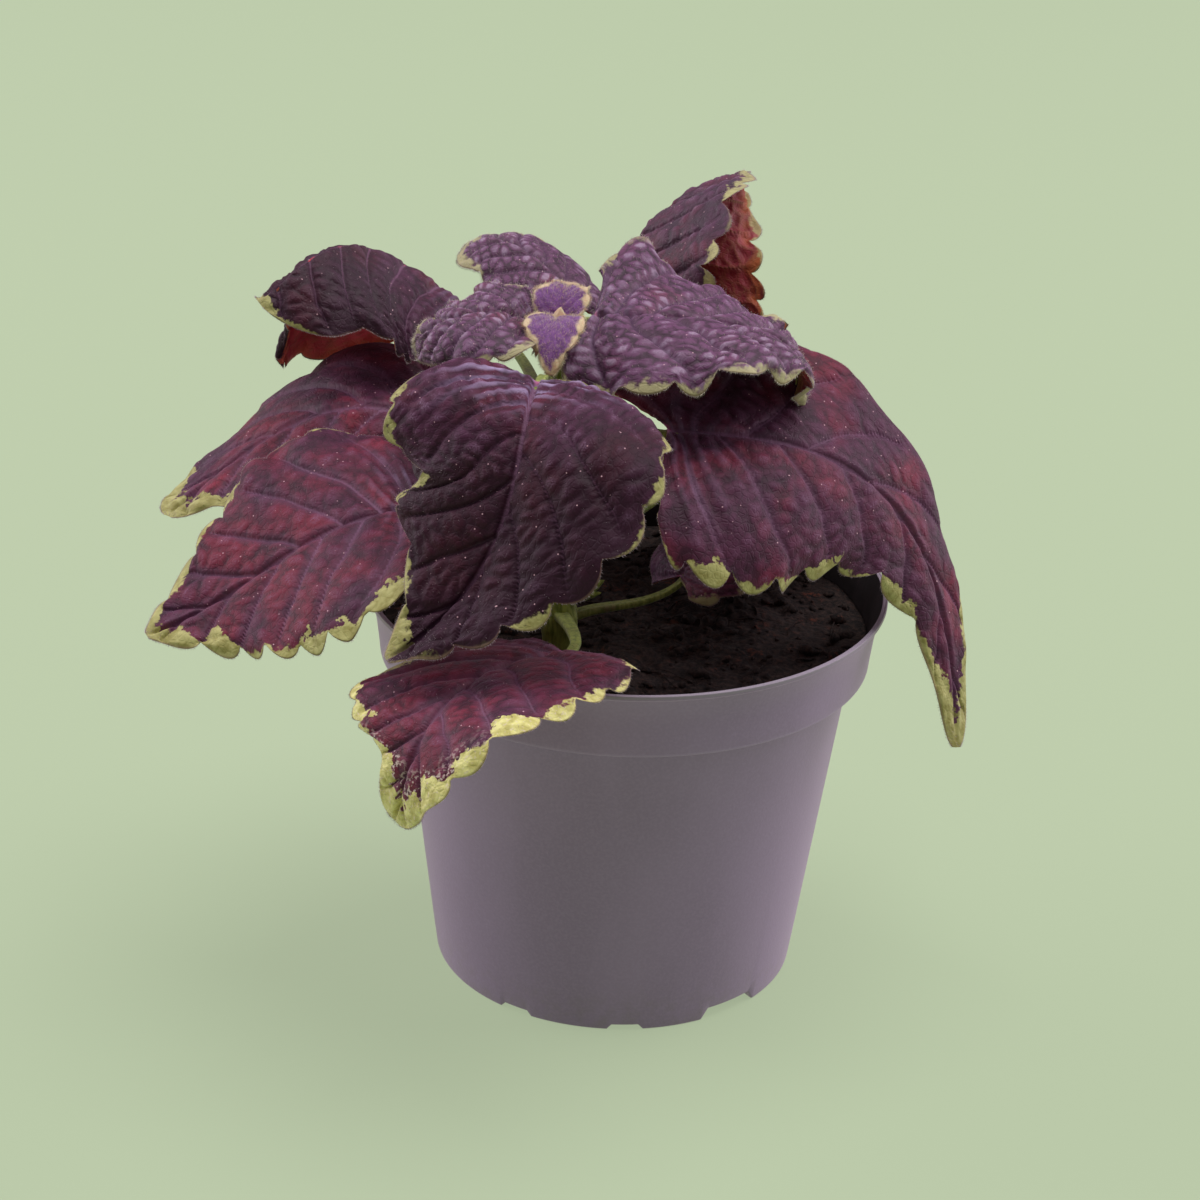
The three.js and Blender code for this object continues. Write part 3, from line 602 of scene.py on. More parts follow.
def vein_pattern(leaf, t, v, flat, seed):
    """Where the veins run in the blade: values from 0 to 1 for main veins and for the fine net,
    and the domes between them.

    Side veins leave the rib by turns on its left and on its right and sweep forward, so their
    coordinate is t less a share of v that dies out towards both ends. The net is a scatter of cells
    laid along those veins."""
    a = np.abs(v)
    side = np.where(v > 0, 0.5, 0.0)
    forward = VEINS["forward"] * np.sin(np.pi * np.clip(t, 0, 1)) ** 0.6
    wander = VEINS["wander"] * (cloud(a * 4, t * 9 + side, seed) - 0.5)
    start = np.clip(t - forward * a * (1.15 - 0.25 * a), 0, 1)
    lane = (0.25 * start + 0.75 * start**0.86) * VEINS["each_side"] + side + wander
    length = curve_length(leaf["rib"])
    spacing = length / VEINS["each_side"]
    to_vein = np.abs(lane - np.round(lane)) * spacing
    young = np.clip(leaf["width"] / 32, 0.4, 1)
    vein_width = blend(*VEINS["side"], a) * blend(0.6, 1.0, young)
    side_vein = np.exp(-((to_vein / vein_width) ** 2)) * smooth(0.97, 0.7, a)
    midrib = np.exp(-((flat["across"] / blend(*VEINS["midrib"], t)) ** 2))
    along, out = flat["along"] * length, np.abs(flat["across"])
    slant = VEINS["slant"]
    steep = np.hypot(1, slant)
    x = (along - slant * out) / steep + 1.6 * (cloud(out / 4, along / 5, seed + 1) - 0.5)
    y = (out + slant * along) / steep + side * 17 + 2.0 * (cloud(out / 5 + 3, along / 6, seed + 2) - 0.5)
    cell = young * leaf.get("cell", 1.0)
    long_cell, short_cell = VEINS["long_cell"] * cell, VEINS["short_cell"] * cell
    border = cells(x / long_cell, y / short_cell, seed, 0.9)
    fine = cells(x / VEINS["fine_cell"] / young, y / VEINS["fine_cell"] / young, seed + 5, 0.9)
    fine_net = 0.45 * np.exp(-((fine / VEINS["fine_line"]) ** 2))
    net = np.maximum(np.exp(-((border / VEINS["line"]) ** 2)), fine_net)
    dome = 0.86 * smooth(0.0, 0.7, border) + 0.14 * smooth(0.0, 0.8, fine)
    uneven = 0.55 + 0.9 * cloud(x / 7, y / 7, seed + 3)
    swell = np.abs(np.sin(np.pi * lane)) ** 0.75
    pleat = np.cos(2 * np.pi * lane * VEINS["pleats"]) * smooth(0.42, 0.12, t)
    pleat = pleat * smooth(0.0, 0.12, a) * smooth(0.95, 0.6, a)
    return {
        "midrib": midrib, "side": side_vein, "net": net, "dome": dome, "lift": dome * uneven, "swell": swell,
        "pleat": pleat, "lanes": np.stack([lane, along, flat["across"]], axis=-1),
    }


def blade_relief(leaf, t, v, flat, veins, seed):
    """How far the blade stands off its bent surface: domes and swells less the veins between them,
    and at the margin a ruffle, a sum of slow sines, with scallops that droop."""
    a = np.abs(v)
    inner = smooth(1.0, 0.88, a) * smooth(0.0, 0.06, t) * smooth(1.0, 0.96, t)
    trough = np.maximum(TROUGH * veins["side"], GUTTER * veins["midrib"])
    calm = 1 - np.maximum(veins["side"], veins["midrib"])
    dome = BLISTER * leaf.get("quilt", 1.0) * veins["lift"] * calm
    dome = dome + SWELL * leaf.get("folds", 1.0) * veins["swell"] * (1 - veins["midrib"])
    dome = dome + PLEAT * veins["pleat"]
    size = blend(0.6, 1.0, np.clip(leaf["width"] / 26, 0, 1)) * leaf.get("vigour", 1.0)
    beat = 2 * np.pi * leaf["crenations"] * t
    lift = np.sin(beat / 2 + seed + 2 * np.sign(v)) + 0.5 * np.sin(beat / 5 + v)
    lift = lift + cloud(t * 11, v * 2, seed) - 0.5
    ends = smooth(0.0, 0.12, t) * smooth(1.0, 0.9, t)
    ruffle = RUFFLE * leaf.get("ruffle", 1.0)
    waves = size * ends * (ruffle * lift * a**4 - DROOP * flat["wave"] * a**9)
    return size * inner * (dome - trough - SETTLE) + waves


def skin_faces(rows, columns):
    """Triangles of the upper face of a grid and of the lower one, turned over, which has points of
    its own but for the rim. Both cut each square along the same diagonal. Also gives the rim."""
    rim = np.ones((rows, columns), bool)
    rim[1:-1, 1:-1] = False
    number = np.arange(rows * columns).reshape(rows, columns)
    below = np.where(rim, number, number + rows * columns)
    quads = grid_faces(rows, columns)
    upper = np.concatenate([quads[:, :3], quads[:, [0, 2, 3]]])
    return upper, below.ravel()[upper][:, ::-1], rim


def blade_shell(leaf, rows, columns, thickness, seed):
    """The blade as one closed skin: an upper and a lower face that meet at the margin.

    Both faces are the bent surface, moved along its normal by the relief and by half the
    thickness, which fades to nothing at the edge. The normal is the cross product of two short
    chords. The grid's rows lie closer near the tip, and its columns closer near the margins."""
    t = blend(OUTLINE["start"], OUTLINE["end"], np.sin(np.linspace(0, 1, rows) ** 0.93 * np.pi / 2) ** 1.18)
    u = np.linspace(-1, 1, columns)
    t, v = np.meshgrid(t, 1.12 * u - 0.12 * u**3, indexing="ij")
    a = np.abs(v)
    flat = flat_place(leaf, t, v)
    veins = vein_pattern(leaf, t, v, flat, seed)
    across, along, fold = flat["across"], flat["along"], flat["fold"]
    step, stride = 0.05, 5e-4
    sideways = bent(leaf, across + step, along, fold) - bent(leaf, across - step, along, fold)
    forwards = bent(leaf, across, along + stride, fold) - bent(leaf, across, along - stride, fold)
    normal = unit(np.cross(sideways, forwards))
    relief = blade_relief(leaf, t, v, flat, veins, seed)
    edge = np.sqrt(1 - a**8) * smooth(0.0, 0.03, t - OUTLINE["start"]) ** 0.5
    edge = edge * smooth(0.0, 0.02, OUTLINE["end"] - t) ** 0.5
    point = bent(leaf, across, along, fold) + normal * relief[..., None]
    shift = normal * (edge * thickness / 2)[..., None]
    points = np.concatenate([(point + shift).reshape(-1, 3), (point - shift).reshape(-1, 3)])
    upper, lower, rim = skin_faces(rows, columns)

    to_tip = (OUTLINE["end"] - t) * curve_length(leaf["rib"])
    to_margin = np.minimum((1 - a) * flat["half"], to_tip + 0.4)
    main_veins = np.maximum(veins["midrib"], 0.8 * veins["side"])
    veined = np.stack([main_veins, veins["net"], veins["dome"]], axis=-1)
    margin = np.stack([to_margin, pale_reach(leaf, t, v, flat["phase"], seed), t], axis=-1)
    top = np.stack([np.ones_like(t), v, flat["half"]], axis=-1)
    under = np.stack([rim.astype(float), v, flat["half"]], axis=-1)
    faces = ((veined, veined), (margin, margin), (veins["lanes"], veins["lanes"]), (top, under))
    used = np.unique(np.concatenate([upper.ravel(), lower.ravel()]))
    renumber = np.full(len(points), -1)
    renumber[used] = np.arange(len(used))
    kept = {
        key: np.concatenate([face.reshape(-1, 3) for face in both])[used]
        for key, both in zip(SKIN_VALUES, faces)
    }
    shell = Shell(points[used], [renumber[upper], renumber[lower]], 0, **kept)
    return shell, point, normal


def stem_point(height):
    """The point of the stem's axis at a height, read off its curve."""
    path = bezier(STEM["path"], np.linspace(0, 1, 400))
    return np.array([np.interp(height, path[:, 2], path[:, axis]) for axis in range(3)])


def petiole_shell(leaf, thickness, finish):
    """The petiole and the midrib it becomes under the blade: a tube, flattened on top, along a
    cubic curve out of the stem and then along the rib, thinning towards the leaf's tip."""
    root, base = stem_point(leaf["node"]), np.array(leaf["rib"][0], float)
    away = unit(unit((base - root) * (1, 1, 0)) + UP * PETIOLE["lift"])
    handle = np.linalg.norm(base - root) * leaf.get("handle", PETIOLE["handle"])
    curve = (root, root + away * handle, base - heading(leaf["rib"], np.array(0.0)) * handle, base)
    stalk = bezier(curve, np.linspace(0.04, 1, PETIOLE["rows"]))
    share = np.linspace(0.0, 0.9, 60)[1:]
    radii = leaf["stalk"] * blend(PETIOLE["thin"], PETIOLE["end"], share**0.7)
    young = blend(0.5, 1.0, np.clip(leaf["width"] / 30, 0, 1))
    sink = 0.62 * radii + (GUTTER + SETTLE) * young * smooth(0, 0.08, share) + thickness
    rib = bezier(leaf["rib"], share) - rib_frame(leaf, share)[2] * sink[:, None]
    even = np.linspace(0, 1, PETIOLE["rows"])
    stalk = stalk + (rib[0] - stalk[-1]) * smooth(0.7, 1, even)[:, None]
    radii = np.concatenate([leaf["stalk"] * blend(PETIOLE["thick"], PETIOLE["thin"], even), radii])
    section, flat = circle(16), PETIOLE["flat"]
    height = section[:, 1]
    section[:, 1] = np.where(height > flat, flat - 0.25 * (height - flat), height)
    return tube(np.concatenate([stalk, rib]), radii, section, UP, finish)


def leaf_hairs(leaf, point, normal, seed, finish):
    """Down along both margins and over the blade, thicker on the young leaves."""
    rows, columns = point.shape[:2]
    place = np.arange(2, rows - 2)
    roots, ways = [], []
    for edge, inside in ((0, 1), (columns - 1, columns - 2)):
        outward = unit(point[:, edge] - point[:, inside])
        for k in range(int(round(blend(*DOWN["margin"], leaf["down"])))):
            part = scatter(place, k, seed + edge)[:, None]
            roots.append(blend(point[place, edge], point[place + 1, edge], part))
            ways.append(outward[place] + normal[place, edge] * (scatter(place, k, seed + 3)[:, None] - 0.3))
    numbers = np.arange(int(DOWN["face"] * leaf["down"]))
    row = (1 + scatter(numbers, 1, seed) * (rows - 3)).astype(int)
    column = (1 + scatter(numbers, 2, seed) * (columns - 3)).astype(int)
    roots.append(point[row, column] + normal[row, column] * 0.2)
    ways.append(normal[row, column])
    length = blend(*DOWN["length"], leaf["down"])
    return hairs(np.concatenate(roots), np.concatenate(ways), length, HAIR["blade"], seed, finish)


# ---- Finishes --------------------------------------------------------------------------------


def fill(socket, value):
    """Give a socket a plain value: a number, a vector, or a colour, which is made opaque."""
    socket.default_value = (*value, 1.0) if socket.type == "RGBA" else value


class Signal:
    """A socket in a material. Arithmetic on it adds the Math nodes that it needs."""

    def __init__(self, tree, socket):
        self.tree = tree
        self.socket = socket

    def node(self, kind, settings=None, sockets=None, output=0):
        """Add any node to the same material: its settings first, then the values or links of its
        sockets, by name or number. Gives one of its outputs."""
        made = self.tree.nodes.new(kind)
        for key, value in (settings or {}).items():
            setattr(made, key, value)
        for key, value in (sockets or {}).items():
            if isinstance(value, Signal):
                self.tree.links.new(value.socket, made.inputs[key])
            else:
                fill(made.inputs[key], value)
        return Signal(self.tree, made.outputs[output])

    def math(self, operation, first, second=0.0):
        """Add a Math node with its operation and one or two inputs."""
        return self.node("ShaderNodeMath", {"operation": operation}, {0: first, 1: second})

    def __add__(self, other):
        return self.math("ADD", self, other)

    def __radd__(self, other):
        return self.math("ADD", other, self)

    def __sub__(self, other):
        return self.math("SUBTRACT", self, other)

    def __rsub__(self, other):
        return self.math("SUBTRACT", other, self)

    def __mul__(self, other):
        return self.math("MULTIPLY", self, other)

    def __rmul__(self, other):
        return self.math("MULTIPLY", other, self)

    def __abs__(self):
        return self.math("ABSOLUTE", self)

    def larger(self, other):
        """The larger of two values."""
        return self.math("MAXIMUM", self, other)

    def rise(self, low, high):
        """0 below low, 1 above high and an S-shaped rise between them."""
        sockets = {"Value": self, "From Min": low, "From Max": high}
        return self.node("ShaderNodeMapRange", {"interpolation_type": "SMOOTHSTEP"}, sockets)

    def fall(self, low, high):
        """1 below low, 0 above high and an S-shaped fall between them."""
        return 1.0 - self.rise(low, high)

    def mix(self, low, high):
        """A colour that goes from low to high as this value goes from 0 to 1."""
        settings = {"data_type": "RGBA", "clamp_factor": True}
        return self.node("ShaderNodeMix", settings, {0: self, 6: low, 7: high}, 2)

    def axis(self, number):
        """One component of a vector."""
        return self.node("ShaderNodeSeparateXYZ", None, {0: self}, number)

    def noise(self, size, detail=3.0, rough=0.5):
        """Soft noise about 0.5, its features about a size in millimetres across."""
        sockets = {"Vector": self, "Scale": 1 / (size * MM), "Detail": detail, "Roughness": rough}
        return self.node("ShaderNodeTexNoise", None, sockets)

    def spots(self, size):
        """The distance to the nearest scattered point, in cells of a size in millimetres."""
        return self.node("ShaderNodeTexVoronoi", None, {"Vector": self, "Scale": 1 / (size * MM)})

    def borders(self, size):
        """The distance to the border of the nearest scattered cell, in cells of a size."""
        sockets = {"Vector": self, "Scale": 1 / (size * MM)}
        return self.node("ShaderNodeTexVoronoi", {"feature": "DISTANCE_TO_EDGE"}, sockets)

    def blended(self, share, other):
        """This colour with a plain share of another colour."""
        settings = {"data_type": "RGBA"}
        return self.node("ShaderNodeMix", settings, {0: share, 6: self, 7: other}, 2)

    def stretched(self, x, y, z):
        """The coordinates multiplied along each axis."""
        return self.node("ShaderNodeVectorMath", {"operation": "MULTIPLY"}, {0: self, 1: (x, y, z)})


class Finish:
    """A material being made, with its coordinates at hand."""

    def __init__(self, name, **constants):
        self.material = bpy.data.materials.new(name)
        self.material.use_nodes = True
        self.tree = self.material.node_tree
        self.shader = self.tree.nodes["Principled BSDF"]
        for key, value in constants.items():
            fill(self.shader.inputs[key.replace("_", " ")], value)
        place = self.tree.nodes.new("ShaderNodeTexCoord")
        self.place = Signal(self.tree, place.outputs["Object"])

    def kept(self, name):
        """A vector that a mesh keeps at its vertices."""
        return self.place.node("ShaderNodeAttribute", {"attribute_name": name}, None, 1)

    def done(self, colour, roughness, height, rise):
        """Link the colour, the roughness and a height of so many millimetres, and give the material."""
        bump = self.place.node("ShaderNodeBump", None, {"Height": height, "Distance": rise * MM})
        for key, value in (("Base Color", colour), ("Roughness", roughness), ("Normal", bump)):
            self.tree.links.new(value.socket, self.shader.inputs[key])
        return self.material


def leaf_finish(name, leaf, tone):
    """A coleus leaf: purple quilting mottled with burgundy, violet veins, pale specks, a lime margin
    that fills the scallops, and a brick-red underside with tan veins and an amber margin. Painted
    shade darkens the hollows of the quilting and the tip, painted highlights light the crowns and the
    pleats near the base, and painted light brightens the underside as if shone through the blade."""
    red, cream, painted_tip_shade = leaf["red"], leaf["cream"], leaf.get("painted_tip_shade", 0.0)
    gloss, young = leaf.get("gloss", 1.0), cream > 0.6
    finish = Finish(
        name, Sheen_Weight=0.2 * gloss, Sheen_Roughness=0.45, Sheen_Tint=tone.sheen,
        Specular_IOR_Level=0.36 * gloss,
    )
    place = finish.place
    veins, margin, lanes, face = (finish.kept(key) for key in SKIN_VALUES)
    main, net, dome = (veins.axis(k) for k in range(3))
    rim, reach, along = (margin.axis(k) for k in range(3))
    lane, ahead, across = (lanes.axis(k) for k in range(3))
    upper, share_out = face.axis(0).rise(0.35, 0.65), abs(face.axis(1))
    broad, soft = place.noise(17.0, 1.0), place.noise(6.0, 2.0)
    fine, grain = place.noise(2.6, 3.0, 0.55), place.noise(0.35, 2.0)

    # Lines, from the distance to a side vein and to the rib in millimetres, and the fine net.
    off_vein = (0.5 - abs(lane.math("FRACT", lane) - 0.5)) * (curve_length(leaf["rib"]) / VEINS["each_side"])
    off_rib = abs(across)
    side_line = (off_vein + share_out * 0.22).fall(0.14, 0.55) * share_out.fall(0.75, 0.98)
    line = (off_rib + along * 0.2).fall(0.28, 0.72).larger(side_line * (0.75 * leaf.get("lines", 1.0)))
    unrolled = lane.node("ShaderNodeCombineXYZ", None, {0: ahead * MM, 1: across * MM, 2: 0.0})
    fine_net = unrolled.borders(VEINS["fine_cell"]).fall(0.03, 0.16)

    # The upper face: plum mottled with burgundy and crimson, with painted shade in the hollows of the
    # quilting and over the tip.
    reddish = (broad - 0.5) * 2.6 + (soft - 0.5) * 0.7 + (red + 0.15) - share_out * 0.3
    plum = blend(np.array(tone.plum), np.array(tone.violet), cream)
    top = reddish.rise(0.0, 1.0).mix(plum, tone.burgundy)
    glow = (place.noise(15.0, 1.0) - 0.62 + 0.14 * red) * 5.0 - share_out * 0.5
    top = (glow.rise(0.0, 0.9) * (0.35 + 0.6 * red)).mix(top, tone.crimson)
    # Painted shade: darker in the hollows between the domes of the relief and along the fine net's grooves,
    # besides darker patches by chance.
    hollow = (1.0 - dome).rise(0.25 + 0.35 * cream, 1.0)
    shade = hollow * (0.45 + 0.35 * cream) + (0.5 - soft) * 1.2 + (0.53 - fine) * 0.6 + fine_net * 0.15
    top = (shade.rise(0.0, 0.95) * 0.85).mix(top, tone.deep)
    halo = off_vein.fall(0.3, 2.6).larger(off_rib.fall(0.5, 3.2))
    top = (halo * share_out.fall(0.6, 0.95) * (0.42 - 0.3 * painted_tip_shade)).mix(top, tone.halo)
    # Painted shade over the tip, where the blade hangs away from the light; it also thins the halo and the
    # felt's highlights there.
    top = ((along * 1.5 + (broad - 0.5)).rise(0.1, 0.9) * painted_tip_shade).mix(top, tone.deep)

    # Painted highlights on the crowns of the quilting, in the pale felt's colour, more of them near the base
    # and on young leaves.
    velvet_highlight = dome.rise(0.45, 1.0) * grain.rise(0.3, 0.8) * (soft * 0.6 + fine * 0.4).rise(0.4, 0.64)
    felt = blend(np.array(tone.velvet_highlight), np.array(tone.silver_highlight), cream)
    near_base_highlight = along.fall(0.1, 0.75) * leaf.get("base_highlight", 0.0)
    top = (velvet_highlight * (0.45 + 0.5 * cream + near_base_highlight * 0.5) * (1.0 - along * painted_tip_shade)).mix(top, felt)
    # Painted highlights on the crowns of the young leaves' quilting.
    if young:
        crown = dome.rise(0.4, 0.9) * (soft * 0.5 + broad * 0.5).rise(0.36, 0.6)
        top = (crown * 0.52).mix(top, tone.silver_highlight)
    # Painted highlights on the pleats near the base, where they catch the light.
    pleat_highlight = lane.math("COSINE", lane * (2 * np.pi * VEINS["pleats"])).rise(-0.6, 1.0)
    pleat_highlight = pleat_highlight * along.fall(0.06, 0.34) * share_out.fall(0.5, 0.95)
    top = (pleat_highlight * leaf.get("base_highlight", 0.3) * 0.8 * soft.rise(0.35, 0.6)).mix(top, tone.base_highlight)

    # Veins, the blush beside the base, the knot where the petiole ends, and pale specks.
    top = (line * (0.72 - along * 0.3) * (0.5 + grain)).mix(top, tone.vein_dark if young else tone.vein)
    if young:
        top = (off_vein.fall(0.1, 0.9) * (0.65 - share_out * 0.35)).mix(top, tone.vein_dark)
    left_side = across.fall(-9.0, -1.0)
    blush = along.fall(0.03, 0.13) * left_side * leaf.get("blush", 0.0) * (0.6 + soft * 0.5)
    top = blush.mix(top, tone.crimson)
    top = (along.fall(0.02, 0.045) * off_rib.fall(1.0, 2.2) * 0.8).mix(top, tone.knot)
    speck = place.spots(2.1).fall(0.05, 0.1) * place.noise(5.0, 0.0).rise(0.38, 0.5)
    top = (speck * 0.8).mix(top, tone.speck)

    # The pale margin, with a ragged inner edge and a darker hem.
    flames = off_vein.fall(0.2, 2.0) * 0.5 + place.noise(1.9, 3.0).rise(0.3, 0.7) * 1.1 - 0.5
    ragged = flames * (reach * 0.5 + 0.5) + (grain - 0.5) * 0.6
    softness = 0.35 + 0.5 * cream
    pale = (rim - reach + ragged).fall(-softness, softness) * reach.rise(0.15, 0.6)
    # Painted light: the lime is made lighter on leaves whose margin faces the light.
    lime, pale_lime = (np.array(colour) * leaf.get("bright", 1.0) for colour in (tone.lime, tone.lime_pale))
    lime = place.noise(2.2, 2.0).rise(0.3, 0.7).mix(lime, pale_lime).blended(cream, tone.cream)
    if leaf.get("mottled"):
        flecks = place.noise(0.9, 2.0).rise(0.52, 0.6) * along.rise(0.62, 0.82)
        top = (flecks * (rim - reach).fall(1.0, 6.0) * 0.7).mix(top, tone.fleck)
        lime = (place.noise(0.7, 1.0).rise(0.58, 0.68) * 0.4).mix(lime, tone.fleck)
    top = (pale * 0.94).mix(top, lime)
    top = (rim.fall(0.12, 0.42) * 0.45).mix(top, tone.hem)

    # The underside: its own brick red and amber, with painted light that makes them glow as if lit through
    # the blade, more on some leaves.
    brick, dark_brick = (np.array(colour) * leaf.get("lit", 1.0) for colour in (tone.brick, tone.brick_dark))
    under = soft.rise(0.3, 0.7).mix(brick, dark_brick)
    amber = rim.fall(0.5, 6.0) * place.noise(8.0, 1.0).rise(0.35, 0.6)
    under = (amber * 0.6).mix(under, tone.amber)
    under = (net * 0.3 + main.rise(0.3, 0.9) * 0.7).mix(under, tone.tan)
    under = ((rim - reach * 0.4 + ragged * 0.5).fall(-0.3, 0.5) * 0.75).mix(under, lime)

    roughness = 0.44 + soft * 0.14 + grain * 0.12 + line * 0.06
    height = grain * 0.35 + place.noise(0.9, 2.0) * 0.3 - fine_net * 0.35 + line * 0.3
    return finish.done(upper.mix(under, top), roughness, height, 0.15)


def stalk_finish(name, tone, purple):
    """Stems and petioles: olive to yellow-green, streaked lengthwise, flushed with purple."""
    finish = Finish(name, Sheen_Weight=0.15, Specular_IOR_Level=0.4)
    place = finish.place
    streak = place.stretched(3.0, 3.0, 0.35).noise(2.5, 3.0)
    green = streak.rise(0.35, 0.65).mix(tone.stalk, tone.stalk_pale)
    flush = (place.noise(6.0, 2.0) - 0.5) * 2.0 + streak - 0.5 + purple
    colour = (flush.rise(0.0, 1.0) * 0.8).mix(green, tone.stalk_flush)
    colour = (place.spots(1.1).fall(0.05, 0.14) * 0.35).mix(colour, tone.stalk_pale)
    return finish.done(colour, 0.42 + streak * 0.2, place.noise(0.5, 2.0) + streak, 0.12)


def hair_finish(name, pale, dark):
    """Leaf hairs: pale, a little darker here and there."""
    finish = Finish(name, Sheen_Weight=0.3)
    shade = finish.place.noise(1.5, 1.0)
    return finish.done(shade.rise(0.35, 0.7).mix(pale, dark), 0.55 + shade * 0.2, shade, 0.02)


def plastic_finish(tone):
    """Moulded plastic: an even mauve-grey with a fine sprayed grain, faint cloudy flow marks, rub marks,
    a few dark specks and dust near the foot, a painted highlight along the collar's lower edge and a
    lip greyed by painted highlight."""
    finish = Finish(
        "coleus_pot_plastic", Specular_IOR_Level=0.3, Sheen_Weight=0.5, Sheen_Roughness=0.4,
        Sheen_Tint=tone.plastic_sheen,
    )
    place, height = finish.place, finish.place.axis(2)
    flow = place.stretched(1.0, 1.0, 0.35).noise(26.0, 3.0)
    grain, pebble = place.noise(0.28, 1.0), place.noise(0.7, 2.0)
    colour = flow.rise(0.3, 0.7).mix(tone.plastic_dark, tone.plastic)
    colour = (pebble.rise(0.35, 0.75) * 0.22).mix(colour, tone.plastic_pale)
    rubbed = place.stretched(1.0, 1.0, 6.0).noise(5.0, 4.0, 0.65).rise(0.6, 0.78)
    colour = (rubbed * 0.16).mix(colour, tone.plastic_pale)
    # A painted highlight: a thin pale line along the collar's lower edge.
    off_collar_highlight = abs(height - (POT["collar"][1] + 0.25) * MM)
    colour = (off_collar_highlight.fall(0.2 * MM, 0.5 * MM) * 0.35).mix(colour, tone.plastic_pale)
    dust = height.fall(0.0, 16 * MM) * place.noise(3.0, 4.0, 0.7).rise(0.4, 0.7)
    colour = (dust * 0.3).mix(colour, tone.dust)
    dirt = place.spots(11.0).fall(0.018, 0.03) * place.noise(31.0, 0.0).rise(0.5, 0.56)
    colour = (dirt * 0.85).mix(colour, tone.dirt)
    # A painted highlight: the lip is greyed to the colour of its highlight.
    lip = height.rise((POT["neck"][1] + 0.5) * MM, (POT["height"] - 0.5) * MM)
    colour = (lip * 0.7).mix(colour, tone.lip_highlight_grey)
    roughness = 0.36 + flow * 0.1 + pebble * 0.14 + rubbed * 0.12
    return finish.done(colour, roughness, grain * 0.4 + pebble * 0.6, 0.055)


def inside_shade_finish(tone):
    """The inside of the pot: painted shade on the plastic, dark and paler in patches, in the colours of damp
    peat.
    """
    finish = Finish("coleus_pot_inside", Specular_IOR_Level=0.25)
    inside_shade = finish.place.stretched(1.0, 1.0, 0.5).noise(6.0, 4.0, 0.65)
    colour = inside_shade.rise(0.42, 0.75).mix(tone.inside_shade_dark, tone.inside_shade_pale)
    return finish.done(colour, 0.55 + inside_shade * 0.3, inside_shade, 0.1)


def peat_finish(tone):
    """Damp peat: nearly black brown, darker with painted shade in the hollows of its bump, with rusty fibres
    and a few pale grains.
    """
    finish = Finish("coleus_peat", Specular_IOR_Level=0.25)
    place = finish.place
    clod, crumb = place.noise(7.0, 4.0, 0.6), place.noise(1.3, 4.0, 0.65)
    # Darker where the bump is low: painted shade in the hollows, with the peat's own darker crumbs.
    colour = crumb.rise(0.35, 0.7).mix(tone.peat_dark, tone.peat)
    colour = (clod.rise(0.55, 0.72) * crumb.rise(0.45, 0.65) * 0.8).mix(colour, tone.rust)
    grains = place.spots(5.2).fall(0.05, 0.09) * clod.rise(0.5, 0.6)
    colour = (grains * 0.6).mix(colour, tone.grit)
    return finish.done(colour, 0.72 + crumb * 0.25, crumb + clod * 0.5, 0.9)


def tip_finish(tone):
    """The newest leaves: vivid purple, thickly felted, with broad cream rims."""
    finish = Finish("coleus_tip_leaf", Sheen_Weight=0.45, Sheen_Roughness=0.4)
    place, margin, face = finish.place, finish.kept("margin"), finish.kept("face")
    grain, fine = place.noise(0.3, 2.0), place.noise(1.4, 3.0)
    purple = (grain * 0.6 + fine * 0.4).rise(0.35, 0.65).mix(tone.vivid_dark, tone.vivid)
    rim = margin.axis(0) - margin.axis(1) * 0.8 + (fine - 0.5) * 1.6
    under = fine.rise(0.3, 0.7).mix(tone.brick, tone.tan)
    colour = face.axis(0).rise(0.35, 0.65).mix(under, purple)
    colour = rim.fall(-0.5, 0.5).mix(colour, grain.rise(0.3, 0.7).mix(tone.felt, tone.cream))
    return finish.done(colour, 0.6 + grain * 0.2, grain, 0.14)


def floor_finish(tone):
    """The plain floor: one pale green, lit from within a little, which keeps its shadows soft."""
    glow = tone.floor_glow
    finish = Finish("studio_floor", Specular_IOR_Level=0.0, Emission_Strength=glow, Emission_Color=tone.floor)
    shade = finish.place.noise(400.0, 1.0)
    lit = np.array(tone.floor) * (1 - glow) / tone.floor_light
    return finish.done(shade.mix(0.985 * lit, 1.015 * lit), 0.85 + shade * 0.1, shade, 0.01)


# ---- Settings a user may change --------------------------------------------------------------


def shade_of(name, description, red, green, blue):
    """A colour property with a default given from 0 to 255."""
    return FloatVectorProperty(
        name=name, description=description, subtype="COLOR", size=3, min=0.0, max=1.0,
        default=linear(red, green, blue),
    )


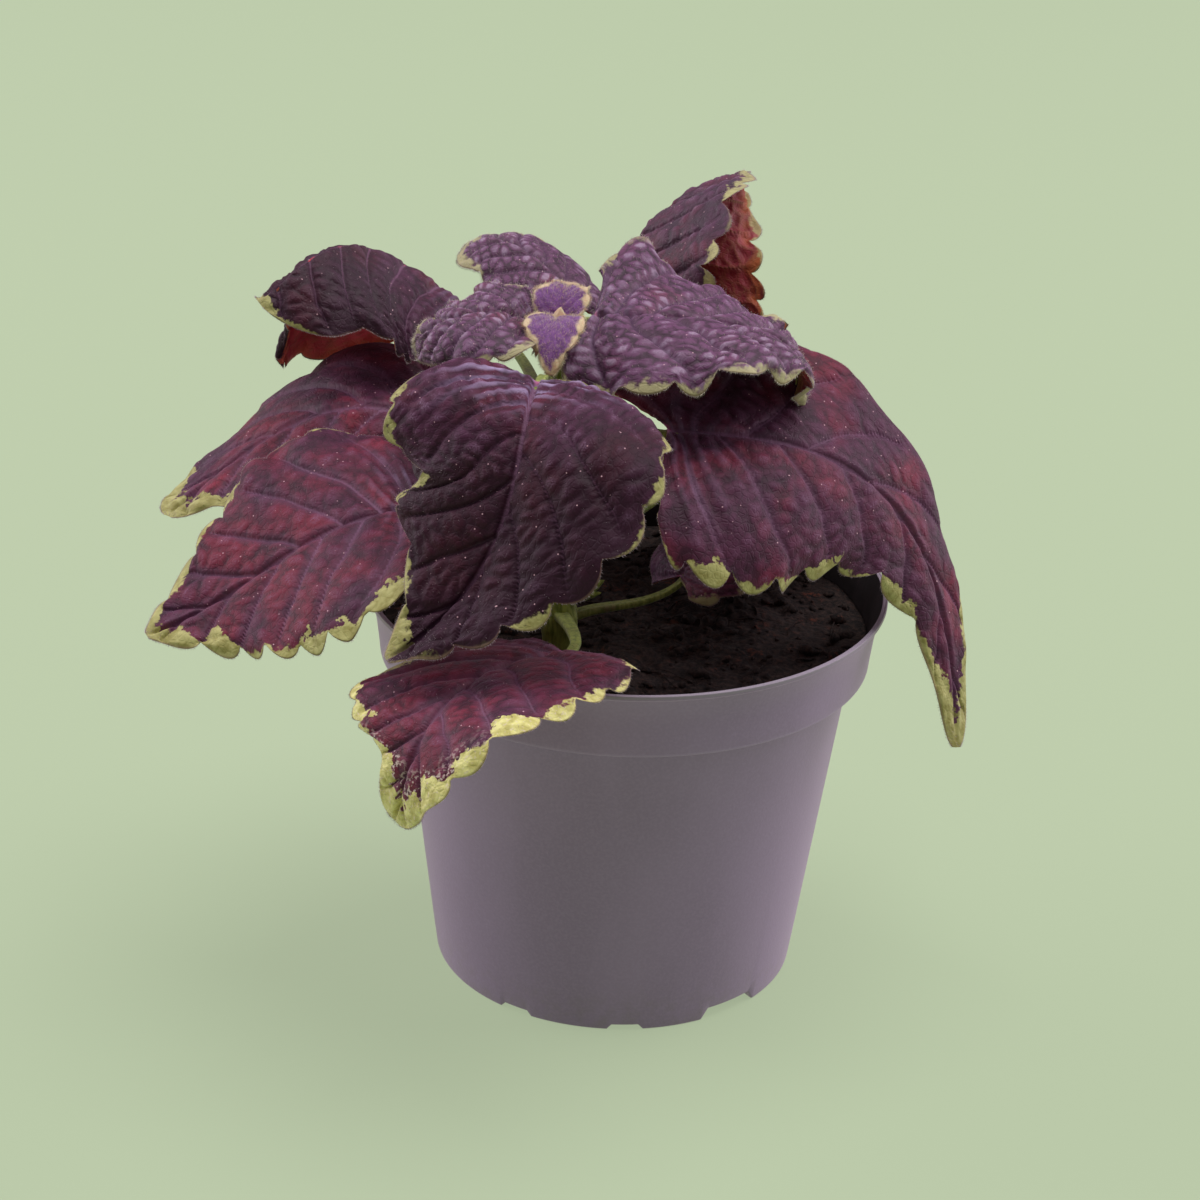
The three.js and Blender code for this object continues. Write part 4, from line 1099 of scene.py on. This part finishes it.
class ColeusLeafSettings(PropertyGroup):
    """Form and colours of the leaves."""

    thickness: FloatProperty(
        name="Thickness", description="Thickness of a blade", default=0.5 * MM, unit="LENGTH",
    )
    rows: IntProperty(
        name="Rows", description="Rows of points from the base of a large leaf to its tip",
        default=158, subtype="UNSIGNED",
    )
    columns: IntProperty(
        name="Columns", description="Points from margin to margin of a large leaf",
        default=119, subtype="UNSIGNED",
    )
    plum: shade_of("Plum", "Main colour of the upper face", 78, 34, 60)
    violet: shade_of("Violet", "Main colour of the young leaves", 106, 60, 98)
    burgundy: shade_of("Burgundy", "Redder patches of the upper face", 112, 32, 52)
    crimson: shade_of("Crimson", "Glowing patches of the upper face", 136, 38, 56)
    # Dark purple for patches by chance, and for the painted shade in the hollows and over the tip.
    deep: shade_of("Deep purple", "Hollows of the upper face", 38, 12, 26)
    # Painted highlight on the crowns of the quilting, in the felt's colour.
    velvet_highlight: shade_of("Velvet", "Felted crowns of the quilting", 142, 108, 138)
    vein: shade_of("Vein", "Veins in the upper face", 134, 94, 122)
    vein_dark: shade_of("Veins of young leaves", "Veins sunk into the young leaves", 74, 42, 72)
    # Painted highlight on the crowns of the young leaves.
    silver_highlight: shade_of("Silver", "Felted crowns of the young leaves", 172, 150, 174)
    # Painted highlight: the colour of the lit pleats near the base.
    base_highlight: shade_of("Dawn", "Pleats near the base that catch the light", 156, 136, 170)
    halo: shade_of("Halo", "Paler bands beside the veins", 104, 70, 94)
    knot: shade_of("Knot", "Where the petiole meets the blade", 186, 104, 146)
    speck: shade_of("Specks", "Pale pink dots", 226, 180, 190)
    lime: shade_of("Lime", "Margin of the older leaves", 144, 138, 76)
    lime_pale: shade_of("Pale lime", "Blotches in the margin", 180, 176, 114)
    cream: shade_of("Cream", "Margin of the young leaves", 178, 170, 128)
    fleck: shade_of("Flecks", "Whitish flecks near a bright margin", 226, 206, 196)
    hem: shade_of("Hem", "The very edge of the blade", 150, 118, 104)
    # The underside's red, with the amber below, made light by painted light as if shone through the blade.
    brick: shade_of("Brick", "Underside", 160, 52, 68)
    brick_dark: shade_of("Dark brick", "Darker parts of the underside", 132, 40, 50)
    amber: shade_of("Amber", "Underside near the margin", 196, 112, 50)
    tan: shade_of("Tan", "Veins under the leaf", 150, 116, 72)
    sheen: shade_of("Sheen", "Tint of the velvet's sheen", 205, 180, 215)


class ColeusStemSettings(PropertyGroup):
    """Colours of the stem, the petioles and the shoot tip."""

    stalk: shade_of("Stalk", "Green of the stem and petioles", 104, 118, 40)
    stalk_pale: shade_of("Pale stalk", "Paler streaks", 152, 162, 74)
    stalk_flush: shade_of("Flush", "Purple-brown flush", 104, 66, 70)
    vivid: shade_of("Vivid purple", "Newest leaves", 122, 66, 134)
    vivid_dark: shade_of("Dark vivid purple", "Newest leaves, darker felt", 84, 36, 96)
    felt: shade_of("Felt", "Peach felt on the rims", 206, 168, 132)
    cream: shade_of("Cream", "Cream rims", 214, 200, 158)
    brick: shade_of("Brick", "Underside of the newest leaves", 112, 60, 50)
    tan: shade_of("Tan", "Paler underside", 150, 104, 72)
    hair: shade_of("Hair", "Leaf hairs", 214, 208, 176)
    hair_dark: shade_of("Dark hair", "Hairs in shade", 178, 160, 166)


class ColeusPotSettings(PropertyGroup):
    """Colours of the pot and its peat."""

    plastic: shade_of("Plastic", "Moulded plastic", 150, 130, 160)
    plastic_dark: shade_of("Dark plastic", "Darker flow marks", 141, 122, 150)
    plastic_pale: shade_of("Pale plastic", "Grain and rub marks", 170, 151, 182)
    # Painted highlight: the grey of the lip's highlight.
    lip_highlight_grey: shade_of("Worn lip", "The rubbed lip of the pot", 138, 132, 136)
    plastic_sheen: shade_of("Plastic sheen", "Tint of the plastic seen edge on", 235, 205, 238)
    dust: shade_of("Dust", "Dust at the foot", 128, 118, 112)
    # Painted shade on the inside of the wall: its dark patches and its paler ones.
    inside_shade_dark: shade_of("Peat smear", "Damp peat on the inside of the wall", 34, 28, 29)
    inside_shade_pale: shade_of("Thin smear", "Plastic under a thin film of peat", 58, 48, 52)
    dirt: shade_of("Dirt", "Dark specks", 40, 34, 34)
    peat: shade_of("Peat", "Peat", 72, 57, 53)
    peat_dark: shade_of("Dark peat", "Hollows in the peat", 33, 28, 28)
    rust: shade_of("Rust", "Rusty fibres", 118, 60, 42)
    grit: shade_of("Grit", "Pale grains", 128, 116, 104)


class ColeusStageSettings(PropertyGroup):
    """The studio around the plant."""

    floor: shade_of("Floor", "The plain floor", 190, 205, 172)
    floor_glow: FloatProperty(
        name="Floor glow", description="Share of the floor's colour that shadows leave alone",
        default=0.66, subtype="FACTOR",
    )
    floor_light: FloatProperty(
        name="Floor light", description="Brightness of a white floor in the studio light", default=1.34,
    )
    floor_size: FloatProperty(
        name="Floor size", description="Length of a side of the floor", default=8.0, unit="LENGTH",
    )
    lens: FloatProperty(
        name="Lens", description="Focal length in millimetres", default=96.0,
    )
    roll: FloatProperty(
        name="Roll", description="How far the camera leans", subtype="ANGLE", unit="ROTATION",
        default=float(np.radians(2.15)),
    )


# ---- The pot and its soil --------------------------------------------------------------------


def notches():
    """The drainage notches round the foot: the angle of each one's middle, in degrees, and its size."""
    for k in range(NOTCH["count"]):
        if k % NOTCH["every"] not in NOTCH["bare"]:
            centre = NOTCH["first"] + 360 * k / NOTCH["count"] - 90
            yield centre, WIDE_NOTCH if k % NOTCH["every"] == 0 else SMALL_NOTCH


def notch_height(angle, radius):
    """How far a drainage notch lifts the pot's foot at an angle and a radius: a flat-topped bump
    with sloping ends, level in height and straight in width, for each notch in turn."""
    height = np.zeros(np.broadcast(angle, radius).shape)
    for centre, size in notches():
        turn = (angle - np.radians(centre) + np.pi) % (2 * np.pi) - np.pi
        across = np.abs(radius * np.sin(turn))
        slope = (size["width"] - across * 2) / (size["width"] - size["top"])
        bump = size["height"] * np.clip(slope, 0, 1)
        height = np.maximum(height, np.where(np.abs(turn) < np.pi / 2, bump, 0))
    return height


def pot_angles():
    """Angles round the pot: even steps, with more where a notch begins and where its top does."""
    extra = []
    for centre, size in notches():
        for width in (size["width"], size["top"]):
            half = np.degrees(np.arcsin(width / 2 / POT["foot"]))
            extra += [centre + side * half + beside for side in (-1, 1) for beside in (-0.12, 0.12)]
    even = np.linspace(0, 360, 300, endpoint=False)
    return np.radians(np.unique(np.concatenate([even, np.array(extra) % 360]).round(3)))


def rounded(corners, steps=5):
    """A profile whose corners (radius, height, fillet) are each eased by a short parabola."""
    corners = np.array(corners, float)
    line = [corners[:1, :2]]
    for before, here, after in zip(corners[:-2], corners[1:-1], corners[2:]):
        ease = here[2]
        start = here[:2] + unit(before[:2] - here[:2]) * ease
        end = here[:2] + unit(after[:2] - here[:2]) * ease
        at = np.linspace(0, 1, steps)[:, None]
        arc = (1 - at) ** 2 * start + 2 * at * (1 - at) * here[:2] + at**2 * end
        line.append(arc if ease > 0 else here[None, :2])
    line.append(corners[-1:, :2])
    return np.concatenate(line)


def pot_shell():
    """The pot: a profile turned about the upright axis. Near the foot a notch lifts the underside,
    the floor above it and the wall between, the wall's rise fading out 6 mm up."""
    height, rim, foot, wall = POT["height"], POT["rim"], POT["foot"], POT["wall"]
    crease, collar, brow, neck = POT["crease"], POT["collar"], POT["brow"], POT["neck"]
    step = foot - NOTCH["depth"]
    profile = rounded([
        # The underside, from the middle outwards, and the outside of the wall up to the crease.
        (0.6, 0, 0), (step - 0.3, 0, 0), (step, 0, 0), (step + 0.05, 0, 0), (foot - 3, 0, 0),
        (foot, 0, 0.7), (foot + 0.42, 3.0, 0), (foot + 0.84, 6.0, 0), (foot + 5, 38.0, 0),
        # The collar, the brow above it, the neck and the bead.
        (*crease, 0.35), (collar[0] - 0.5, collar[1] - 0.05, 0), (*collar, 0.3),
        (collar[0] + 0.3, collar[1] + 3.0, 0), (*brow, 2.6), (*neck, 0.1),
        (rim, height - POT["bead"], 0.15), (rim, height, 0.22), (rim - 0.35, height - 0.03, 0.05),
        (rim - 0.55, height - 0.16, 0.05), (rim - 0.8, height - 0.05, 0.08),
        # The inside, down to the floor and to its middle.
        (rim - wall, height - 0.05, 0.25), (brow[0] - wall, brow[1], 2.0),
        (collar[0] - wall, collar[1] + wall, 0.6), (crease[0] - wall, crease[1] + wall, 0.6),
        (foot - wall + 0.8, 7.0, 0), (foot - wall, POT["floor"], 0.6), (step - 1, POT["floor"], 0),
        (0.6, POT["floor"], 0),
    ])
    angle = pot_angles()
    radius, level = profile[:, :1], profile[:, 1:]
    lift = notch_height(angle[None], np.maximum(radius, step)) * (radius >= step)
    fade = np.clip(1 - (level - 0.2) / 6, 0, 1)
    z = level + lift * fade
    points = np.stack([radius * np.cos(angle), radius * np.sin(angle), z + 0 * angle], axis=-1)
    rows, around = points.shape[:2]
    ends = np.array([[0, 0, 0], [0, 0, POT["floor"]]], float)
    sides, below, floor = capped_faces(rows, around)
    inner_row = np.flatnonzero((profile[:, 1] > height - 2) & (profile[:, 0] < rim - wall + 0.1))[0]
    inner = int(inner_row) * around
    faces = [sides[:inner], sides[inner:], below, floor]
    return Shell(np.concatenate([points.reshape(-1, 3), ends]), faces, (0, 1, 0, 1))


def inside_radius(level):
    """The radius of the pot's inside at a height, straight between its creases."""
    crease, collar, brow, wall = POT["crease"], POT["collar"], POT["brow"], POT["wall"]
    heights = (POT["floor"], crease[1] + wall, collar[1] + wall, brow[1], POT["height"])
    radii = (POT["foot"], crease[0], collar[0], brow[0], POT["rim"])
    return np.interp(level, heights, radii) - wall


def soil_height(x, y):
    """The peat's surface: crowned, with hollows, clods, crumbs and grains from layers of noise."""
    reach = np.clip(np.hypot(x, y) / inside_radius(SOIL["top"]), 0, 1)
    crown = SOIL["top"] + SOIL["crown"] * (1 - reach**2)
    hollows, clods, crumbs = (
        SOIL[key][0] * (cloud(x / SOIL[key][1], y / SOIL[key][1], seed) - 0.5)
        for key, seed in (("hollow", 3), ("clod", 5), ("crumb", 7))
    )
    rise, size = SOIL["grain"]
    grains = rise * (cells(x / size, y / size, 8) - 0.3)
    return crown + (hollows + clods + (crumbs + grains)) * (1 - 0.5 * reach**8)


def soil_shell():
    """The plug of peat: rings of its uneven top, down its side and under it."""
    slack = SOIL["slack"]
    step = POT["wall"] + slack
    sides = np.array([SOIL["top"] - 3, POT["collar"][1] + step, POT["crease"][1] + step, SOIL["bottom"]])
    top = np.linspace(0.012, 1, 84) * (inside_radius(SOIL["top"] - 1) - 0.1)
    side_radius = inside_radius(sides - slack * (sides > POT["crease"][1])) - 0.1
    radius = np.concatenate([top, side_radius, [inside_radius(SOIL["bottom"]) / 2]])
    level = np.concatenate([0 * top, sides, [SOIL["bottom"]]])
    angle = np.linspace(0, 2 * np.pi, 220, endpoint=False)
    x, y = radius[:, None] * np.cos(angle), radius[:, None] * np.sin(angle)
    z = np.where(level[:, None] > 0, level[:, None], soil_height(x, y))
    points = np.stack([x, y, z], axis=-1)
    ends = np.array([[0, 0, soil_height(np.zeros(1), np.zeros(1))[0]], [0, 0, SOIL["bottom"]]])
    return Shell(np.concatenate([points.reshape(-1, 3), ends]), capped_faces(*x.shape, flipped=True))


def turned(first, second, angle):
    """Two coordinates turned by an angle: first cos - second sin, and first sin + second cos."""
    cosine, sine = np.cos(angle)[:, None], np.sin(angle)[:, None]
    return first * cosine - second * sine, first * sine + second * cosine


def crumb_shell(count, seed):
    """Loose crumbs: spheres of a few faces, stretched, turned and dented each in its own way, and
    half sunk in the peat."""
    numbers = np.arange(count)
    chance = [scatter(numbers, k, seed) for k in range(8)]
    radius = (inside_radius(SOIL["top"]) - 2.5) * np.sqrt(chance[0])
    angle = 2 * np.pi * chance[1]
    x, y = radius * np.cos(angle), radius * np.sin(angle)
    least, spread = SOIL["loose_size"]
    size = least + spread * chance[2] ** 3
    rings, around = 5, 8
    lift = np.linspace(0, np.pi, rings + 2)[1:-1]
    turn = np.linspace(0, 2 * np.pi, around, endpoint=False)
    ball = np.stack([
        np.sin(lift)[:, None] * np.cos(turn), np.sin(lift)[:, None] * np.sin(turn),
        np.cos(lift)[:, None] + 0 * turn,
    ], axis=-1).reshape(-1, 3)
    ball = np.concatenate([ball, [[0, 0, 1], [0, 0, -1]]])
    corners = len(ball)
    dent = 0.72 + 0.5 * scatter(numbers[:, None], np.arange(corners)[None], seed + 4)
    stretch = np.stack([1 + chance[3], 0.6 + 0.6 * chance[4], 0.5 + 0.5 * chance[5]], axis=-1)
    spun = ball[None] * dent[..., None] * stretch[:, None]
    level, rise = turned(spun[..., 0], spun[..., 2], 1.2 * (chance[7] - 0.5))
    east, north = turned(level, spun[..., 1], 2 * np.pi * chance[6])
    centre = np.stack([x, y, soil_height(x, y) + 0.15 * size], axis=1)
    points = centre[:, None] + size[:, None, None] * np.stack([east, north, rise], axis=-1)
    sides, top_cap, low_cap = capped_faces(rings, around, flipped=True)
    caps = np.concatenate([top_cap, low_cap])
    start = (corners * numbers)[:, None, None]
    return Shell(points.reshape(-1, 3), [(start + sides).reshape(-1, 4), (start + caps).reshape(-1, 3)])


def fibre_shells(count, seed):
    """Peat fibres: thin tubes along gentle curves that lie on the surface."""
    shells, even = [], np.linspace(-1, 1, 9)
    for k in range(count):
        chance = [float(scatter(np.array(k), j, seed)) for j in range(6)]
        reach, angle, way = 50 * np.sqrt(chance[0]), 2 * np.pi * chance[1], 2 * np.pi * chance[2]
        length = SOIL["fibre_length"][0] + SOIL["fibre_length"][1] * chance[3]
        along = even / 2 * length
        bow = (0.25 - (along / length) ** 2) * length * (chance[4] - 0.5)
        x = reach * np.cos(angle) + along * np.cos(way) - bow * np.sin(way)
        y = reach * np.sin(angle) + along * np.sin(way) + bow * np.cos(way)
        inside = np.minimum(1, (inside_radius(SOIL["top"]) - 1.5) / np.hypot(x, y))
        x, y = x * inside, y * inside
        z = np.convolve(soil_height(x, y), [0.25, 0.5, 0.25], "same")
        z[[0, -1]] = soil_height(x[[0, -1]], y[[0, -1]]) - 0.3
        path = np.stack([x, y, z + 0.35], axis=1)
        thick = SOIL["fibre_size"][0] + SOIL["fibre_size"][1] * chance[5]
        shells.append(tube(path, thick * (1 - 0.6 * np.abs(even) ** 2), circle(5), UP))
    return shells


# ---- The stem and the shoot tip --------------------------------------------------------------


def teardrop(foot, along, length, radius, around, belly=0.35, ridges=0.0):
    """A bud: a tube whose radius is that of a drop, widest a share belly of the way up."""
    share = np.linspace(0.01, 0.995, 18)
    swell = np.where(share < belly, share / belly, (1 - share) / (1 - belly))
    size = radius * np.sin(swell * np.pi / 2) ** 0.8
    path = np.array(foot, float) + share[:, None] * length * unit(np.array(along, float))
    path = path + np.array([0.06, -0.05, 0.0]) * (share**2 * length)[:, None]
    section = circle(around)
    section = section * (1 + ridges * np.cos(4 * np.linspace(0, 2 * np.pi, around, endpoint=False)))[:, None]
    return tube(path, size, section, np.array([0.3, 1.0, 0.2]))


def stem_shell():
    """The stem: a square with well-rounded edges along its curve, tapering, swollen at each node
    where a pair of leaves leaves it."""
    share = np.linspace(0, 1, 150)
    path = bezier(STEM["path"], share)
    angle = np.linspace(0, 2 * np.pi, 40, endpoint=False)
    square = (np.abs(np.cos(angle)) ** 5 + np.abs(np.sin(angle)) ** 5) ** (-1 / 5)
    groove = 1 - 0.05 * np.cos(4 * angle) ** 8
    section = circle(40) * (square * groove)[:, None]
    size = blend(STEM["base"], STEM["top"], share)
    nodes = np.unique([leaf["node"] for leaf in LEAVES.values()])
    swell = np.exp(-(((path[:, 2:] - nodes) / 2.0) ** 2)).sum(axis=1)
    ripple = 0.03 * (cloud(path[:, 2] / 3, 0 * share, 4) - 0.5)
    return tube(path, size * (1 + 0.14 * np.clip(swell, 0, 1.2) + ripple), section, np.array([1.0, 0, 0]))


def side_bud_shells():
    """The side shoots near the soil: each a plump bud with two small scales round it."""
    shells = []
    for bud in SIDE_BUDS:
        turn = np.radians(bud["angle"])
        out = np.array([np.sin(turn), -np.cos(turn), 0.0])
        side = np.array([np.cos(turn), np.sin(turn), 0.0])
        foot = stem_point(bud["height"]) + out * (STEM["base"] - 0.8)
        reach = bud["length"] * 1.5
        shells.append(teardrop(foot, out + UP * 0.75, reach, bud["radius"], 20, ridges=0.06))
        for lean in (-1, 1):
            way = out + UP * 0.55 + side * 0.5 * lean
            scale = teardrop(foot + out * 0.6, way, reach * 0.8, bud["radius"] * 0.62, 16, ridges=0.08)
            shells.append(scale)
    return shells


def stalk_hairs(path, radii, per_mm, length, seed, finish):
    """Hairs that stand out all round a stalk."""
    span = np.linalg.norm(np.diff(path, axis=0), axis=1).sum()
    count = int(span * per_mm)
    numbers = np.arange(count)
    at = scatter(numbers, 1, seed) * (len(path) - 1.001)
    low = at.astype(int)
    centre = blend(path[low], path[low + 1], (at - low)[:, None])
    slope = unit(path[low + 1] - path[low])
    side = unit(np.cross(slope, UP + np.array([0.01, 0, 0])))
    turn = 2 * np.pi * scatter(numbers, 2, seed)[:, None]
    out = side * np.cos(turn) + np.cross(side, slope) * np.sin(turn)
    return hairs(centre + out * radii[low][:, None] * 0.93, out, length, HAIR["stalk"], seed, finish)


# ---- Operators -------------------------------------------------------------------------------


def looking(direction):
    """The turn of a light that shines against a direction."""
    return Vector(direction).to_track_quat("Z", "Y").to_matrix().to_4x4()


def sky(world, settings):
    """Light the scene evenly from all round, and show the camera the floor's own green instead."""
    tree = world.node_tree
    light, seen = tree.nodes["Background"], tree.nodes.new("ShaderNodeBackground")
    fill(light.inputs["Color"], (0.96, 0.94, 1.0))
    fill(light.inputs["Strength"], LIGHT["sky"])
    fill(seen.inputs["Color"], settings.floor)
    fill(seen.inputs["Strength"], LIGHT["seen_sky"])
    path, chosen = tree.nodes.new("ShaderNodeLightPath"), tree.nodes.new("ShaderNodeMixShader")
    tree.links.new(path.outputs["Is Camera Ray"], chosen.inputs["Fac"])
    tree.links.new(light.outputs["Background"], chosen.inputs[1])
    tree.links.new(seen.outputs["Background"], chosen.inputs[2])
    tree.links.new(chosen.outputs["Shader"], tree.nodes["World Output"].inputs["Surface"])


class COLEUS_OT_stage(Operator):
    """Lay the plain floor, set the soft studio light and place the camera"""

    bl_idname = "coleus.stage"
    bl_label = "Studio"

    def execute(self, context):
        scene = context.scene
        settings = scene.coleus_stage
        half = settings.floor_size / 2
        share = np.linspace(-half, half, 9)
        x, y = np.meshgrid(share, share, indexing="ij")
        mesh = bpy.data.meshes.new("studio_floor")
        points = np.stack([x, y, 0 * x], axis=-1).reshape(-1, 3)
        mesh.from_pydata(points.tolist(), [], grid_faces(9, 9).tolist())
        mesh.materials.append(floor_finish(settings))
        floor = placed("studio_floor", mesh)

        scene.world = bpy.data.worlds.new("studio_world")
        scene.world.use_nodes = True
        sky(scene.world, settings)
        sun = bpy.data.lights.new("overhead_light", "SUN")
        sun.energy, sun.angle, sun.color = LIGHT["sun"], np.radians(LIGHT["spread"]), (1.0, 0.985, 0.98)
        placed("overhead_light", sun, looking(LIGHT["from"]))
        for side in (-1, 1):
            panel = bpy.data.lights.new("side_panel", "AREA")
            panel.shape, panel.energy, panel.color = "RECTANGLE", LIGHT["panel"], (1.0, 0.93, 1.0)
            panel.size, panel.size_y = LIGHT["panel_size"]
            place = Vector(LIGHT["panel_place"]) * Vector((side, 1.0, 1.0))
            turn = looking(place - Vector(LIGHT["panel_aim"]))
            placed("side_panel", panel, Matrix.Translation(place) @ turn)

        camera = bpy.data.cameras.new("camera")
        camera.lens, camera.sensor_width, camera.clip_end = settings.lens, 36.0, 50.0
        ahead = Vector(VIEW["ahead"]).normalized()
        level = Vector((1.0, 0.0, 0.0))
        upright = level.cross(ahead)
        cosine, sine = np.cos(settings.roll), np.sin(settings.roll)
        right = level * cosine + upright * sine
        top = upright * cosine - level * sine
        turn = Matrix((right, top, -ahead)).transposed().to_4x4()
        scene.camera = placed("camera", camera, Matrix.Translation(VIEW["eye"]) @ turn)
        scene.view_settings.view_transform = "Standard"
        return {"FINISHED"}


class COLEUS_OT_pot(Operator):
    """Turn the grower's pot with its beaded rim, collar and drainage notches"""

    bl_idname = "coleus.pot"
    bl_label = "Pot"

    def execute(self, context):
        settings = context.scene.coleus_pot
        pot = joined("grower_pot", [pot_shell()], [plastic_finish(settings), inside_shade_finish(settings)])
        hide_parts("pot")
        return {"FINISHED"}


class COLEUS_OT_soil(Operator):
    """Fill the pot with crumbly peat"""

    bl_idname = "coleus.soil"
    bl_label = "Soil"

    def execute(self, context):
        shells = [soil_shell(), crumb_shell(SOIL["loose"], 2), *fibre_shells(SOIL["fibres"], 6)]
        peat = joined("peat", shells, [peat_finish(context.scene.coleus_pot)])
        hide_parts("soil")
        return {"FINISHED"}


class COLEUS_OT_stem(Operator):
    """Grow the main stem with its swollen nodes and side buds"""

    bl_idname = "coleus.stem"
    bl_label = "Stem"

    def execute(self, context):
        settings = context.scene.coleus_stem
        path = bezier(STEM["path"], np.linspace(0.15, 1, 60))
        size = blend(STEM["base"], STEM["top"], np.linspace(0.15, 1, 60))
        shells = [stem_shell(), *side_bud_shells(), stalk_hairs(path, size, 9, 0.6, 31, 1)]
        finishes = [
            stalk_finish("coleus_stem", settings, -0.55),
            hair_finish("coleus_stem_hair", settings.hair, settings.hair_dark),
        ]
        stem = joined("main_stem", shells, finishes)
        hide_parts("stem")
        return {"FINISHED"}


class COLEUS_OT_leaves(Operator):
    """Unfold the leaves with their quilting, veins, petioles and down"""

    bl_idname = "coleus.leaves"
    bl_label = "Leaves"

    def execute(self, context):
        settings, stem = context.scene.coleus_leaf, context.scene.coleus_stem
        for number, (name, leaf) in enumerate(LEAVES.items()):
            fineness = np.sqrt(leaf["width"] / 38) * leaf.get("plain", 1.0)
            rows = int(settings.rows * fineness)
            columns = int(settings.columns * fineness) // 2 * 2 + 1
            seed = 10 * number + 3
            thickness = settings.thickness / MM
            blade, *skin = blade_shell(leaf, rows, columns, thickness, seed)
            stalk = petiole_shell(leaf, thickness, 1)
            down = leaf_hairs(leaf, *skin, seed, 2)
            title = name.replace("leaf_", "") + "_leaf"
            dark = blend(np.array(settings.vein), np.array(stem.hair_dark), 0.5)
            pale = blend(np.array(stem.hair_dark), np.array(stem.hair), leaf["cream"])
            finishes = [
                leaf_finish("coleus_" + title, leaf, settings),
                stalk_finish("coleus_" + title + "_stalk", stem, 0.1),
                hair_finish("coleus_" + title + "_hair", pale, dark),
            ]
            piece = joined(title, [blade, stalk, down], finishes, SKIN_VALUES)
            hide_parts(name)
            "young_leaf" if leaf["cream"] > 0.7 else "leaf"
        return {"FINISHED"}


class COLEUS_OT_shoot_tip(Operator):
    """Add the newest pair of leaves and the bud between them"""

    bl_idname = "coleus.shoot_tip"
    bl_label = "Shoot tip"

    def execute(self, context):
        settings = context.scene.coleus_stem
        shells = []
        for number, leaf in enumerate(TIP_LEAVES):
            blade, *skin = blade_shell(leaf, 70, 61, 0.6, 200 + number)
            shells += [blade, leaf_hairs(leaf, *skin, 210 + number, 2)]
        foot = np.array(BUD["foot"], float) - UP * BUD["root"]
        bud = teardrop(foot, UP, BUD["height"] + BUD["root"], BUD["radius"] * 0.8, 28, 0.4, 0.08)
        bud.finish = 1
        shells.append(bud)
        finishes = [
            tip_finish(settings),
            hair_finish("coleus_bud", settings.cream, settings.felt),
            hair_finish("coleus_tip_hair", settings.cream, settings.felt),
        ]
        tip = joined("new_growth", shells, finishes, SKIN_VALUES)
        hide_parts("shoot_tip")
        return {"FINISHED"}


class COLEUS_PT_panel(Panel):
    """The pieces of the potted coleus"""

    bl_idname = "COLEUS_PT_panel"
    bl_label = "Potted coleus"
    bl_space_type = "VIEW_3D"
    bl_region_type = "UI"
    bl_category = "Coleus"

    def draw(self, context):
        for operator in OPERATORS:
            self.layout.operator(operator.bl_idname)


OPERATORS = (
    COLEUS_OT_stage, COLEUS_OT_pot, COLEUS_OT_soil, COLEUS_OT_stem, COLEUS_OT_leaves, COLEUS_OT_shoot_tip,
)
SETTINGS = {
    "coleus_leaf": ColeusLeafSettings, "coleus_stem": ColeusStemSettings,
    "coleus_pot": ColeusPotSettings, "coleus_stage": ColeusStageSettings,
}


def register():
    """Make the settings, operators and panel known to Blender."""
    for cls in (*SETTINGS.values(), *OPERATORS, COLEUS_PT_panel):
        bpy.utils.register_class(cls)
    for name, cls in SETTINGS.items():
        setattr(bpy.types.Scene, name, PointerProperty(type=cls))


def unregister():
    """Take them away again."""
    for name in SETTINGS:
        delattr(bpy.types.Scene, name)
    for cls in reversed((*SETTINGS.values(), *OPERATORS, COLEUS_PT_panel)):
        bpy.utils.unregister_class(cls)


def main():
    """Build every piece in order."""
    register()
    bpy.ops.coleus.stage()
    bpy.ops.coleus.pot()
    bpy.ops.coleus.soil()
    bpy.ops.coleus.stem()
    bpy.ops.coleus.leaves()
    bpy.ops.coleus.shoot_tip()
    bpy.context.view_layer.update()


if __name__ == "__main__":
    main()
